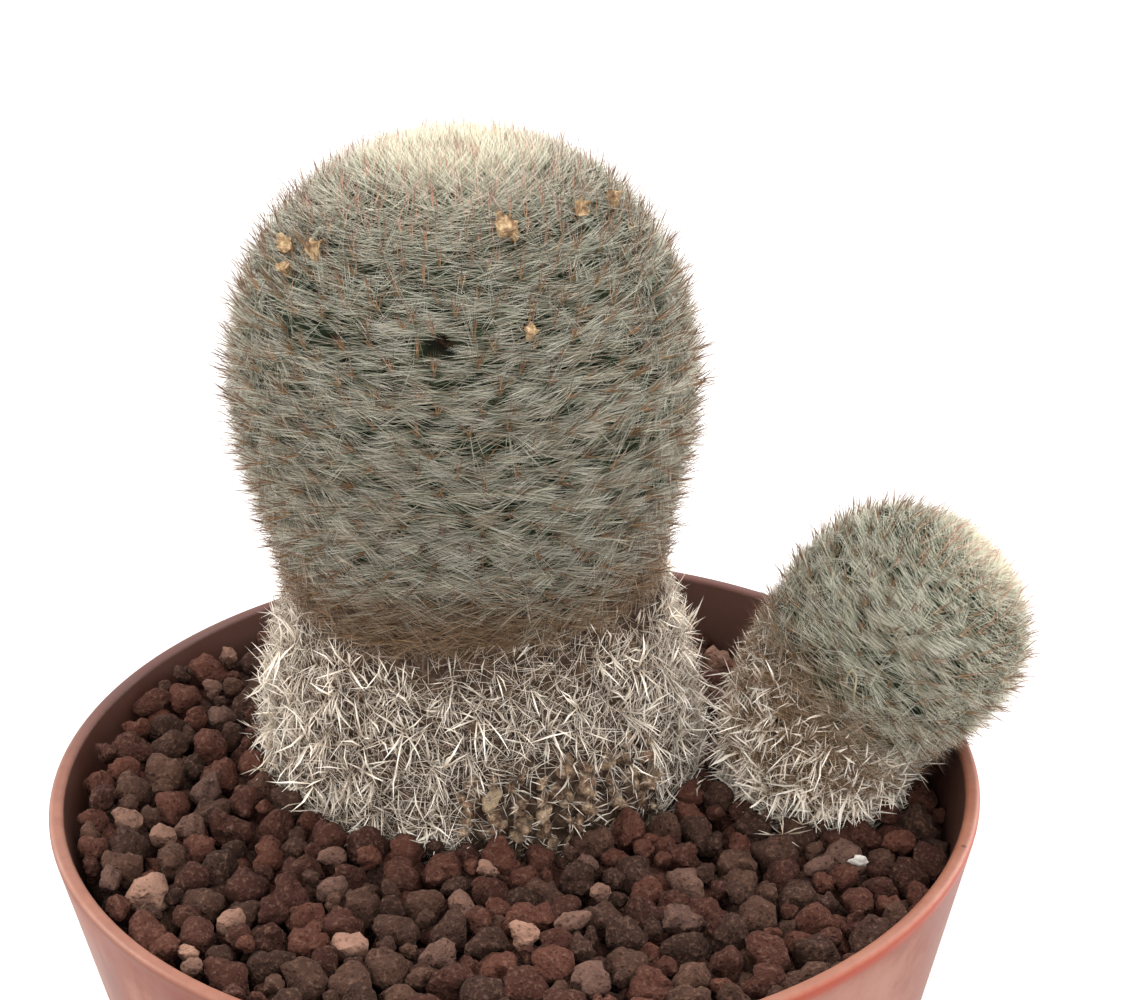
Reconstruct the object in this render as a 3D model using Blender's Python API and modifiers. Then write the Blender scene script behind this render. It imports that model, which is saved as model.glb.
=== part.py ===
"""Potted snowball cactus: a bowl pot with its filling and two spiny stems, in metres, +Z up.

The origin is the middle of the pot's underside, which stands on the ground. +X is to the right and -Y is
towards the viewer. Each stem is a turned body on a leaning axis, covered by a lattice of diamond tubercles,
and each tubercle ends in a woolly areole with four radial spines and one central spine.
"""

import math
import random

import bmesh
import bpy
import numpy as np
from mathutils import Matrix, Vector

MM = 0.001
SEED = 11
GAP = 0.3 * MM  # between pieces that touch

# The pot: a turned bowl with a plain rim, a round foot and drain holes.
RIM_RADIUS = 100 * MM
POT_HEIGHT = 90 * MM
WALL = 3.4 * MM
FLOOR = 4 * MM
WALL_TAPER = math.tan(math.radians(12.2))
RIM_ROUNDING = 1.2 * MM
FOOT_ROUNDING = 24 * MM
TURN_STEPS = 40
ARC_STEPS = 4  # in each rounded corner
DRAIN_HOLES = 6
DRAIN_CIRCLE = 42 * MM
DRAIN_RADIUS = 4 * MM

# The filling: potting mix, then a layer of lava gravel whose surface slopes down to the right and the back.
MIX_TOP = 58 * MM
GRAVEL_LEVEL = 78 * MM
GRAVEL_SLOPE = Vector((-0.032, -0.053))
BED_BELOW_LEVEL = 3 * MM  # the bed that the stones stand out of
STONE_RADIUS = 8.2 * MM
STONE_LEAST = 0.86  # the smallest size and the flattest side, as a share of the full one
STONE_SPACING = 14 * MM
STONE_SHIFT = 0.12  # of the spacing, to either side
STONE_RINGS = 7
RING_SPACING = 12.6 * MM
STONE_ABOVE_LEVEL = 3 * MM
LOWEST_STONE = 0.5  # of that height
OUTER_STONES_BELOW_LEVEL = 8 * MM  # where the outermost ring of stones touches the wall
HOLE_SIDES = 12

# Spines, at true size.
RADIAL_LENGTH = 8.5 * MM
RADIAL_DRAW = (0.85, 1.05)  # of that length
CENTRAL_LENGTH = 7 * MM
CROWN_SPINE_LENGTH = 5.95 * MM
RADIAL_RISE = 28  # degrees off the skin on the sides
CROWN_RISE = 40  # degrees more at the crown
CROWN_FROM = 0.72  # of the meridian, where the radial spines start to stand up more
PINWHEEL = 22  # degrees that each radial turns, so that spines of neighbouring areoles pass each other
HEAD_MESS = 6  # degrees, to either side
TRUNK_MESS = 16
CENTRAL_LEAN = 0.25  # of a spine's length, to any side, and twice that on the trunk
CROWN_LEAN = 0.15
CROWN_SPREAD = 0.5  # how far each crown ring inwards turns its spines to the crown's own direction
CROWN_SPINE_FOOT = 0.35  # of its cell
TUBERCLE = 2 * MM
AREOLE_SHARE = 0.14  # of the tubercle's own width
AREOLE_HEIGHT = 0.8 * MM
SPINE_CLEARANCE = 0.9 * MM
SPINE_REACH = 18.7 * MM  # roots further apart than this never meet
SHORTENING = 0.8  # of its length, each time that a spine is too near another
SHORTENING_ROUNDS = 6
SHARES_ALONG = 9  # places along a spine where its distance to the others is taken
ROOM_TO_POT = 1.5 * MM
ROOM_TO_GRAVEL = 1.5 * MM
POT_STEPS = 12  # lengths that are tried for a spine that meets the pot
POT_STEP = 1 / 14  # of the spine's length
POT_SHARES = (0.4, 0.6, 0.8, 1)  # places along it that have to miss the pot

MAIN_STEM = {
    "name": "main_stem",
    "foot": Vector((-7.2, 31.1)) * MM,
    "lattice_start": 71 * MM,
    "lean_towards": 227,  # degrees round from +X
    "lean": 1.7,  # degrees off the vertical, at the top
    "bend_share": 0.2,  # of the length, in which the stem reaches its full lean
    "columns": 22,
    "rows": 6,
    "foot_radius": 47 * MM,
    "neck_radius": 38.5 * MM,
    "neck": 53 * MM,  # heights along the axis, from the lattice's start
    "widest_radius": 45.5 * MM,
    "widest": 95 * MM,
    "top": 147 * MM,
    "crown_radius": 13 * MM,
    "trunk_share": 0.32,  # of the meridian, where the spines are dead and messy
    "root": (9 * MM, 5 * MM, 26 * MM),  # radius at the stem, radius at the end, depth
    "hole_room": 2 * MM,  # between the stem and the hole in the gravel that it stands in
}
OFFSET_STEM = {
    "name": "offset_stem",
    "foot": Vector((66.5, 12.5)) * MM,
    "lattice_start": 71 * MM,
    "lean_towards": -3,
    "lean": 44,
    "bend_share": 0.66,
    "columns": 12,
    "rows": 4,
    "foot_radius": 17 * MM,
    "neck_radius": 19.5 * MM,
    "neck": 22 * MM,
    "widest_radius": 23.5 * MM,
    "widest": 48 * MM,
    "top": 73 * MM,
    "crown_radius": 7 * MM,
    "trunk_share": 0.3,
    "root": (5 * MM, 3 * MM, 18 * MM),
    "hole_room": 4 * MM,
}
HEAD_POWER = 2.45  # 2 is an ellipse, and more is a flatter crown with fuller shoulders
ROW_CROWDING = 0.25  # how much closer than the mean the rows lie at the crown
CROWN_RINGS = 2
CROWN_MIDDLE = 0.7  # the innermost cell's width, in rings
AXIS_SAMPLES = 120
MERIDIAN_SAMPLES = 400

for old in list(bpy.data.objects):
    bpy.data.objects.remove(old)
parts = bpy.data.collections.new("potted_snowball_cactus")
cutters = bpy.data.collections.new("cutters")
for collection in (parts, cutters):
    bpy.context.scene.collection.children.link(collection)


def material(name, colour, roughness):
    made = bpy.data.materials.new(name)
    made.use_nodes = True
    shader = made.node_tree.nodes["Principled BSDF"]
    shader.inputs["Base Color"].default_value = (*colour, 1)
    shader.inputs["Roughness"].default_value = roughness
    return made


def add_object(name, bm, collection, finish=None):
    mesh = bpy.data.meshes.new(name)
    bm.to_mesh(mesh)
    bm.free()
    obj = bpy.data.objects.new(name, mesh)
    if finish:
        mesh.materials.append(finish)
    collection.objects.link(obj)
    return obj


def rounded(corners, segments):
    """The outline through corners of (radius, height, rounding), each rounded by an arc."""
    outline = []
    for place, (radius, height, rounding) in enumerate(corners):
        corner = Vector((radius, height))
        if not rounding:
            outline.append(corner)
            continue
        back = (Vector(corners[place - 1][:2]) - corner).normalized()
        ahead = (Vector(corners[place + 1][:2]) - corner).normalized()
        half = back.angle(ahead) / 2
        centre = corner + (back + ahead).normalized() * rounding / math.sin(half)
        spoke = corner + back * rounding / math.tan(half) - centre
        side = math.copysign(1, back.x * ahead.y - back.y * ahead.x)
        sweep = -side * (math.pi - 2 * half)
        for step in range(segments + 1):
            outline.append(centre + Matrix.Rotation(sweep * step / segments, 2) @ spoke)
    return outline


def turned(name, outline, collection, finish=None):
    """A solid turned about the Z axis from its outline, which runs down its outer side."""
    bm = bmesh.new()
    points = [bm.verts.new((radius, 0, height)) for radius, height in outline]
    for pair in zip(points, points[1:]):
        bm.edges.new(pair)
    obj = add_object(name, bm, collection, finish)
    screw = obj.modifiers.new("turn", "SCREW")
    screw.steps = TURN_STEPS
    screw.render_steps = TURN_STEPS
    screw.use_smooth_shade = True
    screw.use_merge_vertices = True
    screw.merge_threshold = 0.01 * MM
    return obj


def boolean(obj, operation, cutter=None, collection=None):
    change = obj.modifiers.new(operation.lower(), "BOOLEAN")
    change.operation = operation
    if collection:
        change.operand_type = "COLLECTION"
        change.collection = collection
    else:
        change.object = cutter
    return change


def bake(obj):
    """Turns the object's modifiers into its mesh."""
    graph = bpy.context.evaluated_depsgraph_get()
    obj.data = bpy.data.meshes.new_from_object(obj.evaluated_get(graph))
    obj.modifiers.clear()


def as_cutter(obj, name):
    for holder in list(obj.users_collection):
        holder.objects.unlink(obj)
    cutters.objects.link(obj)
    obj.name = name
    obj.hide_render = True
    obj.display_type = "WIRE"
    return obj


def inner_radius(height):
    """The pot's inner wall at a height above its foot."""
    return RIM_RADIUS - WALL - (POT_HEIGHT - height) * WALL_TAPER


def gravel_height(x, y):
    return GRAVEL_LEVEL + GRAVEL_SLOPE.x * x + GRAVEL_SLOPE.y * y


def make_pot():
    foot_corner = RIM_RADIUS - POT_HEIGHT * WALL_TAPER
    outline = rounded([
        (0, FLOOR, 0),
        (inner_radius(FLOOR), FLOOR, FOOT_ROUNDING - WALL),
        (inner_radius(POT_HEIGHT), POT_HEIGHT, RIM_ROUNDING),
        (RIM_RADIUS, POT_HEIGHT, RIM_ROUNDING),
        (foot_corner, 0, FOOT_ROUNDING),
        (0, 0, 0),
    ], ARC_STEPS)
    terracotta = material("terracotta_plastic", (0.55, 0.22, 0.14), 0.5)
    pot = turned("pot", outline, parts, terracotta)
    for hole in range(DRAIN_HOLES):
        angle = math.tau * ((hole + 0.5) / DRAIN_HOLES + 0.5 / TURN_STEPS)
        spot = Vector((math.cos(angle), math.sin(angle), 0)) * DRAIN_CIRCLE
        bpy.ops.mesh.primitive_cylinder_add(
            vertices=HOLE_SIDES, radius=DRAIN_RADIUS, depth=4 * FLOOR, location=spot
        )
        drill = as_cutter(bpy.context.object, f"drain_hole_{hole + 1}")
        boolean(pot, "DIFFERENCE", drill)


def make_stem_hole(stem, name, radius, bottom, top, sides):
    """A plain round cutter on a stem's foot."""
    bpy.ops.mesh.primitive_cylinder_add(
        vertices=sides,
        radius=radius,
        depth=top - bottom,
        location=(*stem["foot"], (bottom + top) / 2),
    )
    return as_cutter(bpy.context.object, f"{stem['name']}_{name}")


def make_potting_mix():
    outline = rounded([
        (0, MIX_TOP, 0),
        (inner_radius(MIX_TOP) - GAP, MIX_TOP, 0),
        (inner_radius(FLOOR) - 2 * GAP, FLOOR + GAP, FOOT_ROUNDING - WALL),
        (0, FLOOR + GAP, 0),
    ], ARC_STEPS - 1)
    soil = material("potting_mix", (0.05, 0.035, 0.025), 0.95)
    mix = turned("potting_mix", outline, parts, soil)
    for stem in (MAIN_STEM, OFFSET_STEM):
        radius, _, depth = stem["root"]
        room = make_stem_hole(
            stem, "root_hole", radius + MM, MIX_TOP - depth - MM, MIX_TOP + MM, 2 * HOLE_SIDES
        )
        boolean(mix, "DIFFERENCE", room)


def clear_of_stems(x, y, room):
    return all(
        (Vector((x, y)) - stem["foot"]).length > stem["foot_radius"] + stem["hole_room"] + room
        for stem in (MAIN_STEM, OFFSET_STEM)
    )


def make_gravel_bed(bottom):
    """The gravel layer below its stones: turned flat, then tilted to the slope."""
    level = GRAVEL_LEVEL - BED_BELOW_LEVEL
    outline = [
        Vector((0, level)),
        Vector((inner_radius(level) / 2, level)),
        Vector((inner_radius(level) - GAP, level)),
        Vector((inner_radius(bottom) - GAP, bottom)),
        Vector((0, bottom)),
    ]
    bed = turned("gravel", outline, parts, material("lava_gravel", (0.12, 0.055, 0.04), 0.95))
    bake(bed)
    bed.data.shade_flat()
    for point in bed.data.vertices:
        if point.co.z > bottom + MM:
            point.co.z += GRAVEL_SLOPE.dot(point.co.xy)
            reach = inner_radius(point.co.z) - GAP
            if point.co.xy.length > reach / 2 + MM:
                point.co.xy = point.co.xy.normalized() * reach
    return bed


def make_stone(x, y, draw, stones):
    """A rough stone, turned and squashed at random, whose top stands a little above the gravel's level."""
    size = STONE_RADIUS * draw.uniform(STONE_LEAST, 1)
    turn = [Matrix.Rotation(draw.uniform(0, math.tau), 3, axis) for axis in "XYZ"]
    squash = [draw.uniform(STONE_LEAST, 1) for _ in range(3)]
    if not clear_of_stems(x, y, STONE_RADIUS / 4):
        return
    bm = bmesh.new()
    bmesh.ops.create_icosphere(bm, subdivisions=1, radius=size)
    bmesh.ops.scale(bm, verts=bm.verts, vec=squash)
    bmesh.ops.rotate(bm, verts=bm.verts, matrix=turn[0] @ turn[1] @ turn[2])
    highest = max(point.co.z for point in bm.verts)
    lift = gravel_height(x, y) + STONE_ABOVE_LEVEL * draw.uniform(LOWEST_STONE, 1) - highest
    bmesh.ops.translate(bm, verts=bm.verts, vec=(x, y, lift))
    add_object("stone", bm, stones)


def make_gravel():
    """The gravel layer: its bed, with rings of stones that stand out of it, and a hole for each stem."""
    bottom = MIX_TOP + GAP
    gravel = make_gravel_bed(bottom)
    draw = random.Random(SEED)
    stones = bpy.data.collections.new("gravel_stones")
    bpy.context.scene.collection.children.link(stones)
    outermost = inner_radius(GRAVEL_LEVEL - OUTER_STONES_BELOW_LEVEL) - STONE_RADIUS
    for ring in range(STONE_RINGS):
        radius = outermost - ring * RING_SPACING
        count = round(math.tau * radius / STONE_SPACING)
        for spot in range(count):
            place = spot + 0.5 * (ring % 2) + draw.uniform(-STONE_SHIFT, STONE_SHIFT)
            angle = math.tau * place / count
            make_stone(radius * math.cos(angle), radius * math.sin(angle), draw, stones)
    boolean(gravel, "UNION", collection=stones)
    for stem in (MAIN_STEM, OFFSET_STEM):
        radius = stem["foot_radius"] + stem["hole_room"]
        hole = make_stem_hole(stem, "gravel_hole", radius, bottom - MM, POT_HEIGHT + MM, TURN_STEPS)
        boolean(gravel, "DIFFERENCE", hole)
    bake(gravel)
    for stone in list(stones.objects):
        bpy.data.objects.remove(stone)
    bpy.data.collections.remove(stones)


def skin_radius(stem, height):
    """The skin's radius at a height along the axis: a flared foot, a neck, then an egg-shaped head."""
    if height < stem["neck"]:
        share = height / stem["neck"]
        swell = stem["foot_radius"] - stem["neck_radius"]
        return stem["neck_radius"] + swell * math.cos(share * math.pi / 2)
    if height < stem["widest"]:
        share = (height - stem["neck"]) / (stem["widest"] - stem["neck"])
        swell = stem["widest_radius"] - stem["neck_radius"]
        return stem["neck_radius"] + swell * share * share * (3 - 2 * share)
    share = (height - stem["widest"]) / (stem["top"] - stem["widest"])
    return stem["widest_radius"] * max(0, 1 - share ** HEAD_POWER) ** (1 / HEAD_POWER)


def axis_frames(stem):
    """The axis's points and its turns there, at even steps from the lattice's start to the top."""
    step = stem["top"] / AXIS_SAMPLES
    point = Vector((*stem["foot"], stem["lattice_start"]))
    heading = Matrix.Rotation(math.radians(stem["lean_towards"]), 3, "Z")
    frames = []
    for sample in range(AXIS_SAMPLES + 1):
        share = min(1, sample / AXIS_SAMPLES / stem["bend_share"])
        lean = math.radians(stem["lean"]) * share * share * (3 - 2 * share)
        turn = heading @ Matrix.Rotation(lean, 3, "Y") @ heading.transposed()
        frames.append((point.copy(), turn))
        point += turn @ Vector((0, 0, step))
    return frames


def meridian(stem):
    """A table of shares of the skin's own length, from the foot to the crown, and the heights there."""
    heights = np.linspace(0, stem["top"], MERIDIAN_SAMPLES)
    radii = np.array([skin_radius(stem, height) for height in heights])
    keep = (heights < stem["widest"]) | (radii > stem["crown_radius"])
    heights = heights[keep]
    radii = radii[keep]
    length = np.concatenate([[0], np.cumsum(np.hypot(np.diff(heights), np.diff(radii)))])
    return length / length[-1], heights


def skin_point(stem, frames, angle, height, radius):
    """The point at an angle and a radius round the leaning axis, at a height along it."""
    place = min(height / stem["top"], 1) * (len(frames) - 1)
    low = min(int(place), len(frames) - 2)
    start, turn = frames[low]
    centre = start.lerp(frames[low + 1][0], place - low)
    return centre + turn @ Vector((radius * math.cos(angle), radius * math.sin(angle), 0))


def diamond_lattice(columns, rows):
    """A tube of diamonds, radius 1: a grid rolled up and poked, with the grid's own edges dissolved."""
    bm = bmesh.new()
    bmesh.ops.create_grid(bm, x_segments=columns, y_segments=rows, size=1)
    for point in bm.verts:
        angle = math.pi * (point.co.x + 1)
        point.co = (math.cos(angle), math.sin(angle), (point.co.y + 1) / 2 * rows)
    bmesh.ops.remove_doubles(bm, verts=bm.verts, dist=1e-4)
    grid = [edge for edge in bm.edges if len(edge.link_faces) == 2]
    bmesh.ops.poke(bm, faces=bm.faces)
    bmesh.ops.dissolve_edges(bm, edges=grid, use_verts=False)
    return bm


def scale_face(face, share, lift):
    """Shrinks a face about its middle and lifts it along its normal."""
    middle = face.calc_center_median()
    normal = face.normal.copy()
    for point in face.verts:
        point.co = middle + (point.co - middle) * share + normal * lift


def inset(bm, face, share, lift):
    """Leaves a ring of faces round a face, which becomes a share of its size and is lifted."""
    bmesh.ops.inset_individual(bm, faces=[face], thickness=0.1 * MM, use_even_offset=False)
    face.normal_update()
    scale_face(face, share, lift)


def wrap_on_body(bm, stem, frames):
    """Bends the tube of diamonds to the stem's own shape, with its rows closer together at the crown."""
    shares, heights = meridian(stem)
    for point in bm.verts:
        row_share = point.co.z / stem["rows"]
        length_share = row_share * (1 + ROW_CROWDING * (1 - row_share))
        height = float(np.interp(length_share, shares, heights))
        angle = math.atan2(point.co.y, point.co.x)
        point.co = skin_point(stem, frames, angle, height, skin_radius(stem, height))


def close_crown(bm, stem, frames, ring):
    """Fills the lattice's top ring with rings of cells up to the crown's middle, and gives those cells."""
    top = bmesh.ops.edgeloop_fill(bm, edges=ring)["faces"][0]
    cells = []
    for step in range(CROWN_RINGS):
        before = set(bm.faces)
        bmesh.ops.inset_individual(bm, faces=[top], thickness=0.1 * MM)
        cells.append([face for face in bm.faces if face not in before])
        radius = stem["crown_radius"] * (1 - (step + 1) / (CROWN_RINGS + CROWN_MIDDLE))
        share = (1 - (radius / stem["widest_radius"]) ** HEAD_POWER) ** (1 / HEAD_POWER)
        height = stem["widest"] + (stem["top"] - stem["widest"]) * share
        middle = top.calc_center_median()
        spot = skin_point(stem, frames, 0, height, 0)
        for point in top.verts:
            spoke = point.co - middle
            point.co = spot + spoke.normalized() * radius
    middle = bmesh.ops.poke(bm, faces=[top])["verts"][0]
    middle.co = frames[-1][0]
    return cells


def close_foot(bm, stem, ring):
    """The buried part: straight down to the potting mix, a flat seat there, and a root below it."""
    centre = Vector((*stem["foot"], 0))
    seat = MIX_TOP + GAP
    radius, end_radius, depth = stem["root"]
    floor = bmesh.ops.edgeloop_fill(bm, edges=ring)["faces"][0]
    for goal_radius, goal_height in (
        (stem["foot_radius"], seat),
        (radius, seat),
        (radius, MIX_TOP - depth / 2),
        (end_radius, MIX_TOP - depth),
    ):
        floor = bmesh.ops.extrude_discrete_faces(bm, faces=[floor])["faces"][0]
        for point in floor.verts:
            spoke = (point.co - centre) * Vector((1, 1, 0))
            point.co = centre + spoke.normalized() * goal_radius + Vector((0, 0, goal_height))


def make_body(stem, frames):
    """The stem's closed body, its diamonds with their shares of the meridian, and its crown's rings."""
    bm = diamond_lattice(stem["columns"], stem["rows"])
    diamonds = {}
    crown = [[]]
    for face in bm.faces:
        share = face.calc_center_median().z / stem["rows"]
        if len(face.verts) == 4:
            diamonds[face] = share
        elif share > 0.5:
            crown[0].append(face)
    foot_ring, crown_ring = [
        [edge for edge in bm.edges if all(abs(point.co.z - level) < 0.01 for point in edge.verts)]
        for level in (0, stem["rows"])
    ]
    wrap_on_body(bm, stem, frames)
    crown += close_crown(bm, stem, frames, crown_ring)
    close_foot(bm, stem, foot_ring)
    bmesh.ops.recalc_face_normals(bm, faces=bm.faces)
    return bm, diamonds, crown


def raise_areoles(bm, diamonds):
    """Lifts each diamond to a tubercle with a pad on its tip, and gives (pad, share, normal) of each."""
    areoles = []
    for face, share in diamonds.items():
        normal = face.normal.copy()
        inset(bm, face, AREOLE_SHARE, TUBERCLE)
        pad = bmesh.ops.extrude_discrete_faces(bm, faces=[face])["faces"][0]
        for point in pad.verts:
            point.co += normal * AREOLE_HEIGHT
        areoles.append((pad, share, normal))
    bm.normal_update()
    return areoles


def areole_spines(pad, share, normal, dead, draw):
    """(face, way, length) of an areole's spines: a radial from each side of its pad, a central on top."""
    mess = TRUNK_MESS if dead else HEAD_MESS
    crown_share = max(0, (share - CROWN_FROM) / (1 - CROWN_FROM))
    spines = []
    for edge in pad.edges:
        side = next(face for face in edge.link_faces if face is not pad)
        rise = math.radians(RADIAL_RISE + CROWN_RISE * crown_share + draw.uniform(-mess, mess))
        twist = math.radians(PINWHEEL + draw.uniform(-mess, mess) / 2)
        flat = (side.normal - normal * side.normal.dot(normal)).normalized()
        flat = Matrix.Rotation(twist, 3, normal) @ flat
        way = flat * math.cos(rise) + normal * math.sin(rise)
        spines.append((side, way, RADIAL_LENGTH * draw.uniform(*RADIAL_DRAW)))
    lean = Vector([draw.uniform(-CENTRAL_LEAN, CENTRAL_LEAN) for _ in range(3)]) * (2 if dead else 1)
    spines.append((pad, (normal + lean).normalized(), CENTRAL_LENGTH))
    return spines


def crown_spines(bm, crown, top, draw):
    """(face, way, length) of the crown's spines, one from each cell of its outer ring, then every other."""
    spines = []
    for ring, cells in enumerate(crown):
        for cell in cells[::2] if ring else cells:
            cell.normal_update()
            inset(bm, cell, CROWN_SPINE_FOOT, 0)
            lean = Vector([draw.uniform(-CROWN_LEAN, CROWN_LEAN) for _ in range(3)])
            way = (cell.normal + top * ring * CROWN_SPREAD + lean).normalized()
            spines.append((cell, way, CROWN_SPINE_LENGTH))
    return spines


def grow_stem(stem):
    """The stem's body with its tubercles and areoles, and the spines that will grow from its faces."""
    draw = random.Random(f"{stem['name']}{SEED}")
    frames = axis_frames(stem)
    bm, diamonds, crown = make_body(stem, frames)
    areoles = [
        areole_spines(pad, share, normal, share < stem["trunk_share"], draw)
        for pad, share, normal in raise_areoles(bm, diamonds)
    ]
    top = frames[-1][1] @ Vector((0, 0, 1))
    areoles += [[spine] for spine in crown_spines(bm, crown, top, draw)]
    spines = [
        {
            "face": face,
            "root": face.calc_center_median(),
            "way": way,
            "length": length,
            "areole": f"{stem['name']}_{number}",
        }
        for number, areole in enumerate(areoles)
        for face, way, length in areole
    ]
    return bm, spines


def clear_the_pot(spine):
    """Bends a spine up off the gravel, and shortens it where it would meet the pot's wall or rim."""
    tip = spine["root"] + spine["way"] * spine["length"]
    if tip.xy.length < inner_radius(POT_HEIGHT):
        lowest = gravel_height(tip.x, tip.y) + STONE_ABOVE_LEVEL + ROOM_TO_GRAVEL
        tip.z = max(tip.z, lowest)
    way = (tip - spine["root"]).normalized()
    for step in range(POT_STEPS):
        length = spine["length"] * (1 - step * POT_STEP)
        points = [spine["root"] + way * length * share for share in POT_SHARES]
        if not any(
            point.z < POT_HEIGHT + ROOM_TO_POT and point.xy.length > inner_radius(point.z) - ROOM_TO_POT
            for point in points
        ):
            break
    spine["way"] = way
    spine["length"] = length


def segment_distances(start, end, starts, ends):
    """The least distance from one segment to each of many, from points along it."""
    nearest = np.full(len(starts), np.inf)
    spans = ends - starts
    squares = (spans ** 2).sum(1)
    for share in np.linspace(0, 1, SHARES_ALONG):
        point = start + (end - start) * share
        along = np.clip(((point - starts) * spans).sum(1) / squares, 0, 1)
        nearest = np.minimum(nearest, np.linalg.norm(starts + spans * along[:, None] - point, axis=1))
    return nearest


def clear_each_other(spines):
    """Shortens spines until those of different areoles pass each other with room."""
    roots = np.array([spine["root"] for spine in spines])
    ways = np.array([spine["way"] for spine in spines])
    lengths = np.array([spine["length"] for spine in spines])
    areoles = np.array([spine["areole"] for spine in spines])
    for _ in range(SHORTENING_ROUNDS):
        clean = True
        tips = roots + ways * lengths[:, None]
        for place in range(len(spines)):
            near = np.linalg.norm(roots - roots[place], axis=1) < SPINE_REACH
            others = np.nonzero((areoles != areoles[place]) & near)[0]
            if not len(others):
                continue
            gaps = segment_distances(roots[place], tips[place], roots[others], tips[others])
            if gaps.min() < SPINE_CLEARANCE:
                lengths[place] *= SHORTENING
                tips[place] = roots[place] + ways[place] * lengths[place]
                clean = False
        if clean:
            break
    for spine, length in zip(spines, lengths):
        spine["length"] = float(length)


def make_stems():
    grown = [grow_stem(stem) for stem in (MAIN_STEM, OFFSET_STEM)]
    spines = [spine for _, own in grown for spine in own]
    for spine in spines:
        clear_the_pot(spine)
    clear_each_other(spines)
    finishes = [
        material("spiny_skin_main", (0.42, 0.45, 0.36), 0.8),
        material("spiny_skin_offset", (0.44, 0.47, 0.38), 0.8),
    ]
    for stem, finish, (bm, own) in zip((MAIN_STEM, OFFSET_STEM), finishes, grown):
        for spine in own:
            tip = bmesh.ops.poke(bm, faces=[spine["face"]])["verts"][0]
            tip.co = spine["root"] + spine["way"] * spine["length"]
        bmesh.ops.recalc_face_normals(bm, faces=bm.faces)
        add_object(stem["name"], bm, parts, finish)


make_pot()
make_potting_mix()
make_gravel()
make_stems()
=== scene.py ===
import math
import random

import bmesh
import bpy
import numpy as np
from mathutils import Matrix, Vector, noise


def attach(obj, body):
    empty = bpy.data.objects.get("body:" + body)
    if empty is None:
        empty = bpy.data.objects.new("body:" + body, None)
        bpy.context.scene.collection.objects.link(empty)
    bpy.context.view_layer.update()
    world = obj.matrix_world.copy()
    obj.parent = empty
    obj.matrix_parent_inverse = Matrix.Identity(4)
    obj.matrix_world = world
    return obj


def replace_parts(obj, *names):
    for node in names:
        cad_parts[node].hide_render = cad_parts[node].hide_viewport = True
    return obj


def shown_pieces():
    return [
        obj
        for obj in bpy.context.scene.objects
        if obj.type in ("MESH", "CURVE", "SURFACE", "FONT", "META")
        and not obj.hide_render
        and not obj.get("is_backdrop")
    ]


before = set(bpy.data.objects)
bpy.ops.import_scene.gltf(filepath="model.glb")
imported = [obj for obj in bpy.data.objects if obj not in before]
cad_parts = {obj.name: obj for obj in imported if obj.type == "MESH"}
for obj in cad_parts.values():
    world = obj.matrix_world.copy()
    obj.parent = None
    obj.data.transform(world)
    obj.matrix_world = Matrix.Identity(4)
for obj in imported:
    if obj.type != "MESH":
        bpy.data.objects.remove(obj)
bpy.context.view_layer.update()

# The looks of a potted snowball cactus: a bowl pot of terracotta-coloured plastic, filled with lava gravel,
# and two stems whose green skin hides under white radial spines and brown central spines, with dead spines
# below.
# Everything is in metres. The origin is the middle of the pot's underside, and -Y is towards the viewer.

MM = 0.001

# The pot, with the values of its solid.
RIM_RADIUS = 100 * MM
POT_HEIGHT = 90 * MM
WALL = 3.4 * MM
FLOOR = 4 * MM
WALL_TAPER = math.tan(math.radians(12.2))
RIM_ROUNDING = 1.2 * MM
FOOT_ROUNDING = 24 * MM
DRAIN_HOLES = 6
DRAIN_CIRCLE = 42 * MM
DRAIN_RADIUS = 4 * MM
POT_SIDES = 144

# The pot's filling. The gravel's surface slopes down to the right and the back, and is heaped up towards the
# wall at the back left.
MIX_TOP = 58 * MM
GRAVEL_LEVEL = 78 * MM
GRAVEL_SLOPE = (-0.032, -0.053)
HEAP = 8.2 * MM  # at the wall
HEAP_WAY = (math.cos(math.radians(141)), math.sin(math.radians(141)))
HEAP_REACH = 96 * MM
GAP = 0.3 * MM  # between pieces that touch

HEAD_POWER = 2.45  # 2 is an ellipse, and more is a flatter crown with fuller shoulders
AXIS_SAMPLES = 120

# The stems' own shapes are those of their solids. Heights run along the leaning axis, from lattice_start.
MAIN_STEM = {
    "name": "main_stem",
    "foot": (-7.2 * MM, 31.1 * MM),
    "lattice_start": 71 * MM,
    "lean_towards": 227,
    "lean": 1.7,
    "bend_share": 0.2,
    "foot_radius": 47 * MM,
    "neck_radius": 38.5 * MM,
    "neck": 53 * MM,
    "widest_radius": 45.5 * MM,
    "widest": 95 * MM,
    "top": 147 * MM,
    "root": (9 * MM, 5 * MM, 26 * MM),
    "columns": 34,
    "tubercle": 2.6 * MM,
    "green_from": 67 * MM,  # the green head starts here, with a brown zone below it
    "green_dips": 0,  # and its border is lower by this on the side that faces +X
    "bleached_to": 58 * MM,  # the bleached trunk ends here
    "radial_length": (6 * MM, 9.4 * MM),
    "central_length": (5.8 * MM, 9 * MM),
    "radial_width": 1,
    "radials": 106,  # spines an areole, as are centrals and dead
    "centrals": 8,
    "mat": 26000,  # the thin dead spines, in all
    "mat_length": 1,
    "dead": 9,
    "dead_width": 1,
    "upright": 0.55,  # the share of dead spines that lie nearly along the axis
    "tone": 0,  # how much paler its spines are
    "random_tufts": 60,
}
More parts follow.
